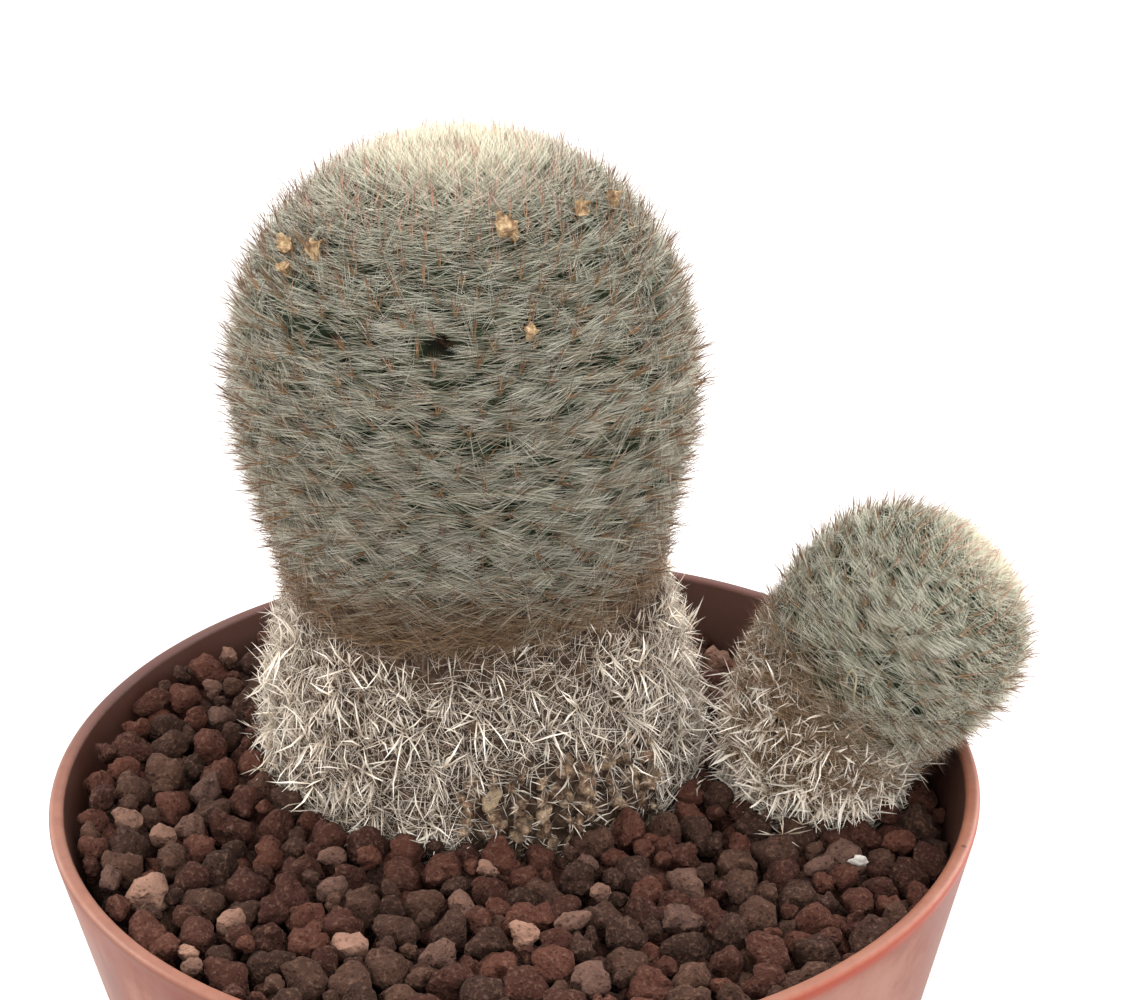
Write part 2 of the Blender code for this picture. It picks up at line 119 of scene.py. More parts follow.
OFFSET_STEM = {
    "name": "offset_stem",
    "foot": (66.5 * MM, 12.5 * MM),
    "lattice_start": 71 * MM,
    "lean_towards": -3,
    "lean": 44,
    "bend_share": 0.66,
    "foot_radius": 17 * MM,
    "neck_radius": 19.5 * MM,
    "neck": 22 * MM,
    "widest_radius": 23.5 * MM,
    "widest": 48 * MM,
    "top": 73 * MM,
    "root": (5 * MM, 3 * MM, 18 * MM),
    "columns": 21,
    "tubercle": 1.8 * MM,
    "green_from": 34 * MM,
    "green_dips": 8 * MM,
    "bleached_to": 35.5 * MM,
    "radial_length": (4.8 * MM, 7.6 * MM),
    "central_length": (5.2 * MM, 7.6 * MM),
    "radial_width": 0.85,
    "radials": 104,
    "centrals": 7,
    "mat": 9000,
    "mat_length": 0.9,
    "dead": 10,
    "dead_width": 1.25,
    "upright": 0.8,
    "tone": 0.3,
    "random_tufts": 34,
}


# Selecting and finishing meshes

def start_fresh():
    """Leaves edit mode and deselects everything, so that the next operator acts on its own piece alone."""
    if bpy.context.object and bpy.context.object.mode != "OBJECT":
        bpy.ops.object.mode_set(mode="OBJECT")
    bpy.ops.object.select_all(action="DESELECT")


def pick(obj):
    """Selects one piece alone."""
    start_fresh()
    bpy.context.view_layer.objects.active = obj
    obj.select_set(True)


def edit(obj):
    """Edit mode on one piece, with nothing selected in its mesh."""
    pick(obj)
    bpy.ops.object.mode_set(mode="EDIT")
    bpy.ops.mesh.select_all(action="DESELECT")


def apply_place(obj):
    """Puts the object's place in its mesh."""
    pick(obj)
    bpy.ops.object.transform_apply(location=True, rotation=True, scale=True)


def apply_modifier(obj, modifier):
    pick(obj)
    bpy.ops.object.modifier_apply(modifier=modifier.name)


def finish_piece(obj, name, finish, smooth=None):
    """Names a piece, gives it its material, lets it rest with the pot and smooths it up to an angle."""
    obj.name = name
    obj.data.name = name
    obj.data.materials.clear()
    obj.data.materials.append(finish)
    pick(obj)
    if smooth:
        bpy.ops.object.shade_smooth_by_angle(angle=math.radians(smooth))
    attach(obj, "root")
    return obj


def set_values(mesh, name, values):
    """A number at every vertex, which the material reads by name."""
    attribute = mesh.attributes.new(name, "FLOAT", "POINT")
    attribute.data.foreach_set("value", np.asarray(values, np.float32).ravel())


def vertex_array(mesh):
    points = np.empty(len(mesh.vertices) * 3, np.float32)
    mesh.vertices.foreach_get("co", points)
    return points.reshape(-1, 3).astype(float)


def set_points(mesh, points):
    mesh.vertices.foreach_set("co", points.astype(np.float32).ravel())


def extrude_ring(rise, share, centre):
    """Extrudes the selected ring along Z, and widens its end about a centre."""
    bpy.ops.mesh.extrude_region_move(TRANSFORM_OT_translate={"value": (0, 0, rise)})
    bpy.ops.transform.resize(value=(share, share, 1), center_override=centre)


def model_cone(sides, foot, top, height, middle):
    """A cone with two radii that stands on the Z axis, with its middle at a height."""
    start_fresh()
    bpy.ops.mesh.primitive_cone_add(
        vertices=sides, radius1=foot, radius2=top, depth=height, location=(0, 0, middle)
    )
    cone = bpy.context.object
    apply_place(cone)
    return cone


def crumple(obj, name, size, strength, shift, depth):
    """Pushes a mesh's points in and out by a cloud of noise, taken at a shift along X."""
    texture = bpy.data.textures.new(name, "CLOUDS")
    texture.noise_scale = size
    texture.noise_depth = depth
    lumps = obj.modifiers.new("lumps", "DISPLACE")
    lumps.texture = texture
    lumps.texture_coords = "LOCAL"
    lumps.strength = strength
    obj.data.transform(Matrix.Translation((shift, 0, 0)))
    apply_modifier(obj, lumps)
    obj.data.transform(Matrix.Translation((-shift, 0, 0)))


def take_pattern(obj):
    """A small model's points and triangles, to be copied many times, and the model itself removed."""
    start_fresh()
    obj.data.calc_loop_triangles()
    points = vertex_array(obj.data)
    faces = np.array([triangle.vertices[:] for triangle in obj.data.loop_triangles])
    bpy.data.objects.remove(obj)
    return points, faces


def stamp(name, batches, finish, smooth=None):
    """One piece made of copies of small models. A batch is (pattern, matrices, places, values)."""
    all_points = []
    all_faces = []
    all_values = {}
    start = 0
    for (points, faces), matrices, places, values in batches:
        copies = len(places)
        made = np.einsum("nij,vj->nvi", matrices, points) + places[:, None]
        all_points.append(made.reshape(-1, 3))
        offsets = start + np.arange(copies) * len(points)
        all_faces.append((faces[None] + offsets[:, None, None]).reshape(-1, 3))
        for key, value in values.items():
            value = np.asarray(value, float).reshape(copies, -1)
            all_values.setdefault(key, []).append(np.broadcast_to(value, (copies, len(points))).ravel())
        start += copies * len(points)
    mesh = bpy.data.meshes.new(name)
    mesh.from_pydata(np.concatenate(all_points).tolist(), [], np.concatenate(all_faces).tolist())
    for key, parts in all_values.items():
        set_values(mesh, key, np.concatenate(parts))
    obj = bpy.data.objects.new(name, mesh)
    bpy.context.scene.collection.objects.link(obj)
    return finish_piece(obj, name, finish, smooth)


# Materials

def linear(hex_colour):
    """An sRGB hex colour as linear RGBA."""
    channels = [int(hex_colour[place:place + 2], 16) / 255 for place in (1, 3, 5)]
    return (*[c / 12.92 if c <= 0.04045 else ((c + 0.055) / 1.055) ** 2.4 for c in channels], 1)


def add_node(tree, kind, inputs=None, **settings):
    """Adds a node, sets its settings, and fills its sockets with values or with other nodes' outputs."""
    node = tree.nodes.new(kind)
    for name, value in settings.items():
        setattr(node, name, value)
    for socket, value in (inputs or {}).items():
        if isinstance(value, bpy.types.NodeSocket):
            tree.links.new(value, node.inputs[socket])
        else:
            node.inputs[socket].default_value = value
    return node


def start_material(name, roughness):
    """A new material, its node tree, its shader and the place on the object in metres."""
    made = bpy.data.materials.new(name.replace("_", " "))
    made.use_nodes = True
    tree = made.node_tree
    shader = tree.nodes["Principled BSDF"]
    shader.inputs["Roughness"].default_value = roughness
    place = add_node(tree, "ShaderNodeTexCoord").outputs["Object"]
    return made, tree, shader, place


def cloud(tree, place, size, detail=3.0, roughness=0.55):
    """Noise whose patches are about size metres across."""
    made = add_node(tree, "ShaderNodeTexNoise", {
        "Vector": place, "Scale": 0.5 / size, "Detail": detail, "Roughness": roughness,
    })
    return made.outputs["Fac"]


def ramp(tree, factor, stops):
    """A colour ramp from (position, hex colour) stops."""
    node = add_node(tree, "ShaderNodeValToRGB", {"Fac": factor})
    elements = node.color_ramp.elements
    while len(elements) < len(stops):
        elements.new(0.5)
    for element, (position, colour) in zip(elements, stops):
        element.position = position
        element.color = linear(colour)
    return node.outputs["Color"]


def limits(tree, value, low, high, to_low=0.0, to_high=1.0):
    """The value from low to high, smoothly mapped to to_low to to_high and held there outside."""
    return add_node(tree, "ShaderNodeMapRange", {
        "Value": value, "From Min": low, "From Max": high, "To Min": to_low, "To Max": to_high,
    }, interpolation_type="SMOOTHSTEP").outputs["Result"]


def maths(tree, operation, *values):
    """One step of arithmetic on numbers or sockets."""
    return add_node(tree, "ShaderNodeMath", dict(enumerate(values)), operation=operation).outputs[0]


def over(tree, factor, below, above):
    """One colour laid over another by a factor. Each is a hex colour or a socket."""
    node = tree.nodes.new("ShaderNodeMix")
    node.data_type = "RGBA"
    sockets = {socket.identifier: socket for socket in node.inputs}
    for key, value in (("Factor_Float", factor), ("A_Color", below), ("B_Color", above)):
        if isinstance(value, bpy.types.NodeSocket):
            tree.links.new(value, sockets[key])
        else:
            sockets[key].default_value = linear(value) if isinstance(value, str) else value
    return next(socket for socket in node.outputs if socket.identifier == "Result_Color")


def value_of(tree, name):
    """What set_values stored by this name."""
    return add_node(tree, "ShaderNodeAttribute", attribute_name=name).outputs["Fac"]


def bump(tree, shader, height, distance, strength=1.0):
    made = add_node(tree, "ShaderNodeBump", {"Height": height, "Distance": distance, "Strength": strength})
    tree.links.new(made.outputs["Normal"], shader.inputs["Normal"])


def pot_plastic():
    """Polypropylene moulded in terracotta colour, weathered: a chalky lime bloom in patches 20 mm across and
    in streaks of 6 mm, a rim that is worn in front, orange-red at the right and dark red at the back, soil
    dust inside with painted shade that darkens it towards the floor, dark red stains 26 mm across and dark
    specks of 1 mm."""
    made, tree, shader, place = start_material("weathered terracotta polypropylene", 0.5)
    bloom = limits(tree, cloud(tree, place, 19 * MM, 6, 0.62), 0.3, 0.72)
    colour = ramp(tree, bloom, [(0, "#6a3425"), (0.5, "#7e4838"), (1, "#996c5e")])
    drawn_out = add_node(tree, "ShaderNodeMapping", {"Vector": place, "Scale": (1, 1, 0.22)}).outputs[0]
    streaks = limits(tree, cloud(tree, drawn_out, 6 * MM, 4), 0.5, 0.75, 0, 0.4)
    colour = over(tree, streaks, colour, "#a3796b")
    split = add_node(tree, "ShaderNodeSeparateXYZ", {"Vector": place})
    height = split.outputs["Z"]
    fresh_edge = maths(tree, "MULTIPLY_ADD", cloud(tree, place, 45 * MM, 2), 22 * MM, 72 * MM)
    rise = maths(tree, "SUBTRACT", height, fresh_edge)
    colour = over(tree, limits(tree, rise, 0, 5 * MM, 0, 0.55), colour, "#7d3b2a")
    stained = maths(tree, "MULTIPLY_ADD", limits(tree, height, 66 * MM, 86 * MM), 0.09,
                    cloud(tree, place, 26 * MM, 5, 0.6))
    colour = over(tree, limits(tree, stained, 0.6, 0.66, 0, 0.6), colour, "#722c1f")
    rim = limits(tree, height, 86.4 * MM, 88.4 * MM)
    to_right = limits(tree, split.outputs["X"], -10 * MM, 50 * MM)
    flat = add_node(tree, "ShaderNodeVectorMath", {0: place, 1: (1, 1, 0)}, operation="MULTIPLY").outputs[0]
    reach = add_node(tree, "ShaderNodeVectorMath", {0: flat}, operation="LENGTH").outputs["Value"]
    outer_edge = limits(tree, reach, 98.7 * MM, 99.3 * MM)
    rim_colour = over(tree, maths(tree, "MULTIPLY", to_right, outer_edge), "#733f2e", "#93331a")
    to_back = limits(tree, split.outputs["Y"], -20 * MM, 40 * MM)
    rim_colour = over(tree, to_back, rim_colour, "#471d13")
    colour = over(tree, maths(tree, "MULTIPLY", rim, 0.85), colour, rim_colour)
    lip = limits(tree, height, 88.9 * MM, 89.7 * MM)
    worn = maths(tree, "MULTIPLY", lip, cloud(tree, place, 2.5 * MM, 4, 0.7))
    worn = maths(tree, "MULTIPLY", worn, maths(tree, "SUBTRACT", 1, to_back))
    colour = over(tree, worn, colour, "#9a6650")
    specks = limits(tree, cloud(tree, place, 1.1 * MM, 1), 0.73, 0.77)
    speckled = limits(tree, cloud(tree, place, 28 * MM, 1), 0.5, 0.66)
    colour = over(tree, maths(tree, "MULTIPLY", specks, speckled), colour, "#3f221b")
    # The inner wall: soil dust, and painted shade that makes it darker towards the pot's floor.
    depth = limits(tree, height, 60 * MM, 90 * MM)
    dust_and_shade = ramp(tree, depth, [(0, "#2d1c17"), (0.5, "#3c241d"), (1, "#48291f")])
    colour = over(tree, value_of(tree, "inside"), colour, dust_and_shade)
    tree.links.new(colour, shader.inputs["Base Color"])
    tree.links.new(limits(tree, bloom, 0, 1, 0.42, 0.62), shader.inputs["Roughness"])
    grain = maths(tree, "MULTIPLY_ADD", cloud(tree, place, 0.9 * MM, 2), 0.3, cloud(tree, place, 8 * MM, 2))
    bump(tree, shader, grain, 0.5 * MM, 0.35)
    return made


def lava_rock(name, colours):
    """Lava rock: dull foamed basalt, granular at 1.2 mm and 0.5 mm, with shallow pits painted darker as
    painted shade. Each stone has its own tone, from the darkest colour to the palest, and its raised grain is
    painted paler as painted highlights."""
    made, tree, shader, place = start_material(name, 0.97)
    shader.inputs["Specular IOR Level"].default_value = 0.15
    tone = value_of(tree, "tone")
    wobble = maths(tree, "MULTIPLY_ADD", cloud(tree, place, 3 * MM, 3), 0.5, -0.25)
    colour = ramp(tree, maths(tree, "ADD", tone, wobble), colours)
    pits = add_node(tree, "ShaderNodeTexVoronoi", {"Vector": place, "Scale": 1 / (1.3 * MM)})
    hollow = limits(tree, pits.outputs["Distance"], 0.05, 0.4)
    lumps = cloud(tree, place, 1.2 * MM, 2)
    grain = cloud(tree, place, 0.5 * MM, 3, 0.7)
    # Painted highlight: the raised grain is paler.
    colour = over(tree, limits(tree, grain, 0.48, 0.72, 0, 0.28), colour, "#a07c69")
    # Painted shade: the pits are darker.
    colour = over(tree, limits(tree, hollow, 0, 1, 0.4, 0), colour, "#170e0a")
    tree.links.new(colour, shader.inputs["Base Color"])
    rough = maths(tree, "MULTIPLY_ADD", lumps, 1.3, grain)
    bump(tree, shader, maths(tree, "MULTIPLY_ADD", hollow, 0.35, rough), 0.9 * MM, 1)
    return made


def potting_mix():
    """Peat with fine bark: nearly black brown crumbs 2 mm across."""
    made, tree, shader, place = start_material("peat and bark mix", 1)
    crumbs = cloud(tree, place, 2 * MM, 5, 0.7)
    tree.links.new(ramp(tree, crumbs, [(0.3, "#150e0a"), (0.7, "#3b2a20")]), shader.inputs["Base Color"])
    bump(tree, shader, crumbs, 1 * MM, 0.8)
    return made


def cactus_skin(name):
    """Waxy cactus skin: dull green between the spines, which turns to brown cork with age. The cork is
    cracked in flakes 2 mm across, and the hollow in the head's front is dark and dry."""
    made, tree, shader, place = start_material(name, 0.8)
    shader.inputs["Specular IOR Level"].default_value = 0.12
    mottled = cloud(tree, place, 2.5 * MM, 4)
    green = ramp(tree, mottled, [(0.3, "#10160c"), (0.5, "#202a1a"), (0.7, "#3a4630")])
    flakes = cloud(tree, place, 1.6 * MM, 4, 0.7)
    cork = ramp(tree, flakes, [(0.28, "#231914"), (0.5, "#45362b"), (0.66, "#6b5747"), (0.8, "#8d7965")])
    colour = over(tree, value_of(tree, "age"), green, cork)
    dry = ramp(tree, flakes, [(0.35, "#060403"), (0.52, "#1d140e"), (0.7, "#4c3829")])
    tree.links.new(over(tree, value_of(tree, "pit"), colour, dry), shader.inputs["Base Color"])
    bump(tree, shader, flakes, 0.5 * MM, 0.6)
    return made


def spine_horn(name, young, old, roughness=0.45):
    """Cactus spine, a smooth dry horn. Its colours run from foot to tip, once for young spines and once for
    dead ones, mixed by age. Each spine has its own tone."""
    made, tree, shader, _ = start_material(name, roughness)
    along = value_of(tree, "along")
    colour = over(tree, value_of(tree, "age"), ramp(tree, along, young), ramp(tree, along, old))
    tone = add_node(tree, "ShaderNodeMapRange", {
        "Value": value_of(tree, "tone"), "From Max": 1.4, "To Min": 0.3, "To Max": 1.55,
    }).outputs["Result"]
    shade = add_node(tree, "ShaderNodeHueSaturation", {"Color": colour, "Value": tone}).outputs[0]
    tree.links.new(shade, shader.inputs["Base Color"])
    return made


def plain_fibre(name, stops, size, roughness=0.9):
    """Matted wool, or a withered flower: dull and soft, mottled at the given size."""
    made, tree, shader, place = start_material(name, roughness)
    mottled = cloud(tree, place, size, 4, 0.7)
    tree.links.new(ramp(tree, mottled, stops), shader.inputs["Base Color"])
    bump(tree, shader, mottled, size / 2, 0.8)
    return made


def bare_cork():
    """Corky tubercles whose spines are gone: flaky brown cork with cracks 1.5 mm apart, the crests painted
    pale as painted highlights and the cracks dark, partly as painted shade.
    """
    made, tree, shader, place = start_material("bare tubercle cork", 0.9)
    flakes = cloud(tree, place, 1.5 * MM, 5, 0.75)
    # The ramp follows the bump: the pale crests are painted highlight, and the darkest cracks are partly
    # painted shade.
    colour = ramp(tree, flakes, [(0.34, "#1d140f"), (0.45, "#5c4535"), (0.54, "#98795f"), (0.66, "#d8c2a4")])
    tone = limits(tree, value_of(tree, "tone"), 0, 1.2, 0, 1)
    colour = over(tree, maths(tree, "MULTIPLY", maths(tree, "POWER", tone, 3), 0.6), colour, "#cdb591")
    tree.links.new(colour, shader.inputs["Base Color"])
    bump(tree, shader, flakes, 1.6 * MM, 1)
    return made


# The pot

def inner_radius(height):
    """The pot's inner wall at a height above its foot."""
    return RIM_RADIUS - WALL - (POT_HEIGHT - height) * WALL_TAPER


def rounded(corners):
    """The outline through corners of (radius, height, rounding, arc steps), each rounded by an arc."""
    outline = []
    for place, (radius, height, rounding, steps) in enumerate(corners):
        corner = Vector((radius, height))
        if not rounding:
            outline.append(corner)
            continue
        back = (Vector(corners[place - 1][:2]) - corner).normalized()
        ahead = (Vector(corners[place + 1][:2]) - corner).normalized()
        half = back.angle(ahead) / 2
        centre = corner + (back + ahead).normalized() * rounding / math.sin(half)
        spoke = corner + back * rounding / math.tan(half) - centre
        side = math.copysign(1, back.x * ahead.y - back.y * ahead.x)
        sweep = -side * (math.pi - 2 * half)
        for step in range(steps + 1):
            outline.append(centre + Matrix.Rotation(sweep * step / steps, 2) @ spoke)
    return outline


def make_pot():
    """A ring at the middle of the underside, extruded and widened along the outline, up and down into the
    bowl, then drilled."""
    foot_corner = RIM_RADIUS - POT_HEIGHT * WALL_TAPER
    start_radius = 3 * MM
    outline = rounded([
        (start_radius, 0, 0, 0),
        (foot_corner, 0, FOOT_ROUNDING, 12),
        (RIM_RADIUS, POT_HEIGHT, RIM_ROUNDING, 5),
        (inner_radius(POT_HEIGHT), POT_HEIGHT, RIM_ROUNDING, 5),
        (inner_radius(FLOOR), FLOOR, FOOT_ROUNDING - WALL, 10),
        (start_radius, FLOOR, 0, 0),
    ])
    start_fresh()
    bpy.ops.mesh.primitive_circle_add(vertices=POT_SIDES, radius=start_radius)
    pot = bpy.context.object
    edit(pot)
    bpy.ops.mesh.select_all(action="SELECT")
    for (radius, height), (wider, higher) in zip(outline, outline[1:]):
        extrude_ring(higher - height, wider / radius, (0, 0, higher))
    bpy.ops.mesh.fill_grid()
    bpy.ops.mesh.select_all(action="DESELECT")
    bpy.ops.mesh.select_non_manifold()
    bpy.ops.mesh.fill_grid()
    bpy.ops.mesh.select_all(action="SELECT")
    bpy.ops.mesh.normals_make_consistent(inside=False)
    start_fresh()
    for hole in range(DRAIN_HOLES):
        angle = math.tau * (hole + 0.55) / DRAIN_HOLES
        bpy.ops.mesh.primitive_cylinder_add(
            vertices=24, radius=DRAIN_RADIUS, depth=4 * FLOOR,
            location=(DRAIN_CIRCLE * math.cos(angle), DRAIN_CIRCLE * math.sin(angle), 0),
        )
        drill = bpy.context.object
        cut = pot.modifiers.new("drain hole", "BOOLEAN")
        cut.operation = "DIFFERENCE"
        cut.object = drill
        apply_modifier(pot, cut)
        bpy.data.objects.remove(drill)
    points = vertex_array(pot.data)
    levels = points[:, 2]
    radii = np.hypot(points[:, 0], points[:, 1])
    foot_centre = foot_corner - FOOT_ROUNDING / math.tan(math.pi / 4 + math.atan(WALL_TAPER) / 2)
    from_centre = np.hypot(np.maximum(radii - foot_centre, 0), FOOT_ROUNDING - levels)
    within_wall = radii < RIM_RADIUS - WALL / 2 - (POT_HEIGHT - levels) * WALL_TAPER
    inside = np.where(levels < FOOT_ROUNDING, from_centre < FOOT_ROUNDING - WALL / 2, within_wall)
    set_values(pot.data, "inside", inside & (levels < POT_HEIGHT - RIM_ROUNDING / 2))
    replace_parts(finish_piece(pot, "bowl_pot", pot_plastic(), 35), "pot")


# The gravel

STONE_SHAPES = 12
STONE_SIZES = (1.9 * MM, 4.8 * MM)  # half sizes, from the smallest to the largest
STONE_ROOM = 0.86  # of the two half sizes, between stones of a layer
FLAT_FROM = 0.72  # of a stone's reach, where its flat side starts
FLATTENING = 0.85
TOP_LAYER = 3 * MM  # the level of the top layer of stones, above the gravel's surface
LOWER_LAYER = 5 * MM  # how much lower the other layer's level is
SUNK = 0.55  # of its half size that a stone's middle is below its layer's level
MARKED_SUNK = 0.4  # of its half width, for a stone with its own place
UNEVEN = 1.2 * MM  # how much stones of a layer are higher or lower than that
TOP_TRIES = 14000
LOWER_TRIES = 7000
BED_BELOW = 9 * MM  # how far the bed's top is below the gravel's surface


def gravel_height(x, y):
    """The gravel's surface: a slope with a heap."""
    along = np.maximum(HEAP_WAY[0] * x + HEAP_WAY[1] * y, 0)
    heap = HEAP * along ** 2 * np.hypot(x, y) / HEAP_REACH ** 3
    return GRAVEL_LEVEL + GRAVEL_SLOPE[0] * x + GRAVEL_SLOPE[1] * y + heap


def model_stone(number, subdivisions):
    """A lump of lava: a ball pulled out of shape by coarse noise, pitted by finer noise, with a flat side."""
    draw = random.Random(f"stone {number}")
    start_fresh()
    bpy.ops.mesh.primitive_ico_sphere_add(subdivisions=subdivisions, radius=1)
    stone = bpy.context.object
    stone.scale = (1, draw.uniform(0.66, 0.95), draw.uniform(0.6, 0.86))
    stone.rotation_euler = [draw.uniform(0, math.tau) for _ in range(3)]
    apply_place(stone)
    for size, strength in ((1.1, 0.9), (0.42, 0.42)):
        crumple(stone, f"lump {number} {size}", size, strength, number * 3.7, 1)
    points = vertex_array(stone.data)
    points -= (points.max(0) + points.min(0)) / 2
    side = Vector([draw.gauss(0, 1) for _ in range(3)]).normalized()
    reach = points @ np.array(side)
    limit = reach.max() * FLAT_FROM
    points -= np.maximum(reach - limit, 0)[:, None] * np.array(side) * FLATTENING
    points /= np.ptp(points, axis=0).mean() / 2
    set_points(stone.data, points)
    return take_pattern(stone)


# The stones that stand out in the photograph: x and y in mm, half length, half width and turn, kind and tone.
MARKED_STONES = (
    (-38.9, -23.4, 3.4, 2.3, 10, "pale", 0.4), (-38.1, -35.9, 3.5, 2.9, 0, "pale", 0.2),
    (-33.6, -57.2, 4.7, 3.8, 0, "pale", 0.85), (-11.1, -42.6, 5.0, 3.3, 100, "pale", 0.45),
    (-16.2, -60.6, 4.2, 2.8, 20, "pale", 0.3), (0.8, -53.4, 3.6, 2.7, -15, "pale", 0.95),
    (10.5, -48.4, 3.6, 3.0, 20, "pale", 0.5), (14.8, -25.7, 2.7, 2.4, 60, "pale", 0.15),
    (16.9, -37.0, 2.4, 2.2, 0, "pale", 0.6), (-6.2, -28.4, 2.3, 2.0, 0, "pale", 0.7),
    (13.6, -70.0, 4.3, 4.0, 80, "pale", 0.25), (5.8, -64.1, 4.8, 4.3, 40, "red", 0.8),
    (-83.3, -34.6, 4.4, 2.6, 95, "pale", 0.2), (-57.6, -48.4, 3.1, 2.8, 0, "pale", 0.8),
    (-64.8, -60.4, 3.0, 2.2, -20, "pale", 0.95), (-52.4, -22.8, 4.0, 3.5, 60, "red", 0.9),
    (-69.6, -12.9, 3.6, 2.8, 15, "pale", 0.3), (-82.7, -12.3, 3.8, 3.0, -10, "pale", 0.6),
    (-67.5, 3.0, 4.6, 3.9, 75, "pale", 0.05), (-66.9, 34.5, 4.6, 3.2, 95, "pale", 0.1),
    (35.1, -32.7, 5.0, 3.4, -50, "pale", 0.35), (33.3, -47.9, 4.6, 3.5, 15, "pale", 0.05),
    (67.6, -31.2, 3.2, 3.0, 0, "red", 0.7), (69.1, -41.2, 3.6, 3.2, 70, "red", 0.6),
    (81.3, -17.0, 4.1, 2.9, 5, "red", 1.0), (63.0, -27.0, 3.6, 2.2, 10, "pale", 0.3),
    (75.4, -42.5, 3.1, 2.8, 0, "red", 0.9), (47.3, -69.9, 4.8, 3.8, 20, "red", 0.5),
    (30.9, -19.1, 2.8, 2.3, 0, "red", 0.7), (-70.0, 45.0, 2.5, 2.2, 0, "pale", 0.35),
)


def clear_of_stems(x, y, half):
    main = math.hypot(x - MAIN_STEM["foot"][0], y - MAIN_STEM["foot"][1])
    offset = math.hypot(x - OFFSET_STEM["foot"][0], y - OFFSET_STEM["foot"][1])
    room = 1.8 * MM + 0.8 * half
    return main > MAIN_STEM["foot_radius"] + room and offset > OFFSET_STEM["foot_radius"] + room


def scatter_stones(draw, placed, tries, level, size_power):
    """Adds seeded places of one layer of stones, largest first, each clear of the earlier ones."""
    for attempt in range(tries):
        share = 1 - attempt / tries
        half = STONE_SIZES[0] + (STONE_SIZES[1] - STONE_SIZES[0]) * share ** size_power
        reach = (inner_radius(GRAVEL_LEVEL + level) - 0.9 * half) * math.sqrt(draw.random())
        angle = draw.uniform(0, math.tau)
        x = reach * math.cos(angle)
        y = reach * math.sin(angle)
        if not clear_of_stems(x, y, half):
            continue
        if any(
            (x - ox) ** 2 + (y - oy) ** 2 < (STONE_ROOM * (half + other)) ** 2 for ox, oy, _, other in placed
        ):
            continue
        height = gravel_height(x, y) + level - SUNK * half + draw.uniform(-UNEVEN, UNEVEN)
        placed.append((x, y, height, half))
    return placed


def random_turns(draw, count):
    """Evenly random rotation matrices."""
    quaternions = draw.normal(size=(count, 4))
    w, x, y, z = (quaternions / np.linalg.norm(quaternions, axis=1)[:, None]).T
    return np.stack([
        1 - 2 * (y * y + z * z), 2 * (x * y - z * w), 2 * (x * z + y * w),
        2 * (x * y + z * w), 1 - 2 * (x * x + z * z), 2 * (y * z - x * w),
        2 * (x * z - y * w), 2 * (y * z + x * w), 1 - 2 * (x * x + y * y),
    ], 1).reshape(-1, 3, 3)


def make_gravel():
    """Two layers of loose stones on the bed, each stone a turned copy of one of the models."""
    draw = random.Random(41)
    turns = np.random.default_rng(42)
    # The colours of each kind, and its share of the stones.
    kinds = {
        "dark": ([(0, "#2f1f19"), (0.5, "#412d25"), (1, "#563d32")], 0.49),
        "red": ([(0, "#36201a"), (0.5, "#482b23"), (1, "#5e392e")], 0.48),
        "pale": ([(0, "#553f38"), (0.5, "#74574b"), (1, "#a6806d")], 0.03),
    }
    fine = [model_stone(number, 3) for number in range(STONE_SHAPES)]
    coarse = [model_stone(number, 2) for number in range(STONE_SHAPES)]
    marked = []
    for x, y, long, wide, _, _, _ in MARKED_STONES:
        height = gravel_height(x * MM, y * MM) + TOP_LAYER - MARKED_SUNK * wide * MM
        marked.append((x * MM, y * MM, height, (long + wide) / 2 * MM))
    top = scatter_stones(draw, list(marked), TOP_TRIES, TOP_LAYER, 1.5)
    lower = scatter_stones(draw, [], LOWER_TRIES, TOP_LAYER - LOWER_LAYER, 1.2)
    sorted_out = {name: [] for name in kinds}
    for number, (spot, stone) in enumerate(zip(marked, MARKED_STONES)):
        _, _, long, wide, turn, kind, tone = stone
        scale = Matrix.Diagonal((long * MM, wide * MM, wide * MM))
        matrix = np.array(Matrix.Rotation(math.radians(turn), 3, "Z") @ scale)
        pattern = fine[number % len(fine)]
        sorted_out[kind].append((pattern, matrix[None], np.array([spot[:3]]), {"tone": [tone]}))
    for placed, patterns in ((top[len(marked):], fine), (lower, coarse)):
        picked = [draw.choices(list(kinds), [share for _, share in kinds.values()])[0] for _ in placed]
        shapes = [draw.randrange(len(patterns)) for _ in placed]
        matrices = random_turns(turns, len(placed))
        for kind in kinds:
            for shape, pattern in enumerate(patterns):
                chosen = [n for n in range(len(placed)) if picked[n] == kind and shapes[n] == shape]
                if not chosen:
                    continue
                spots = np.array([placed[n] for n in chosen])
                tones = turns.uniform(0.1, 0.9, len(chosen))
                sorted_out[kind].append(
                    (pattern, matrices[chosen] * spots[:, 3, None, None], spots[:, :3], {"tone": tones})
                )
    for kind, (colours, _) in kinds.items():
        name = f"lava_stones_{kind}"
        stones = stamp(name, sorted_out[kind], lava_rock(name, colours), 50)
        if kind == "dark":
            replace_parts(stones, "gravel")
    make_gravel_bed()
    make_perlite(fine[3])


PERLITE_PLACE = (70.8 * MM, -29.4 * MM)
PERLITE_LIFT = 5.2 * MM  # above the gravel's surface
PERLITE_HALF = (2 * MM, 1.2 * MM, 1.1 * MM)


def make_perlite(pattern):
    """One white crumb of perlite on the gravel."""
    place = (*PERLITE_PLACE, gravel_height(*PERLITE_PLACE) + PERLITE_LIFT)
    white = plain_fibre("perlite", [(0.3, "#9f978e"), (0.7, "#d8d2c9")], 0.8 * MM)
    scale = np.array(Matrix.Diagonal(PERLITE_HALF))
    stamp("perlite_crumb", [(pattern, scale[None], np.array([place]), {})], white, 50)


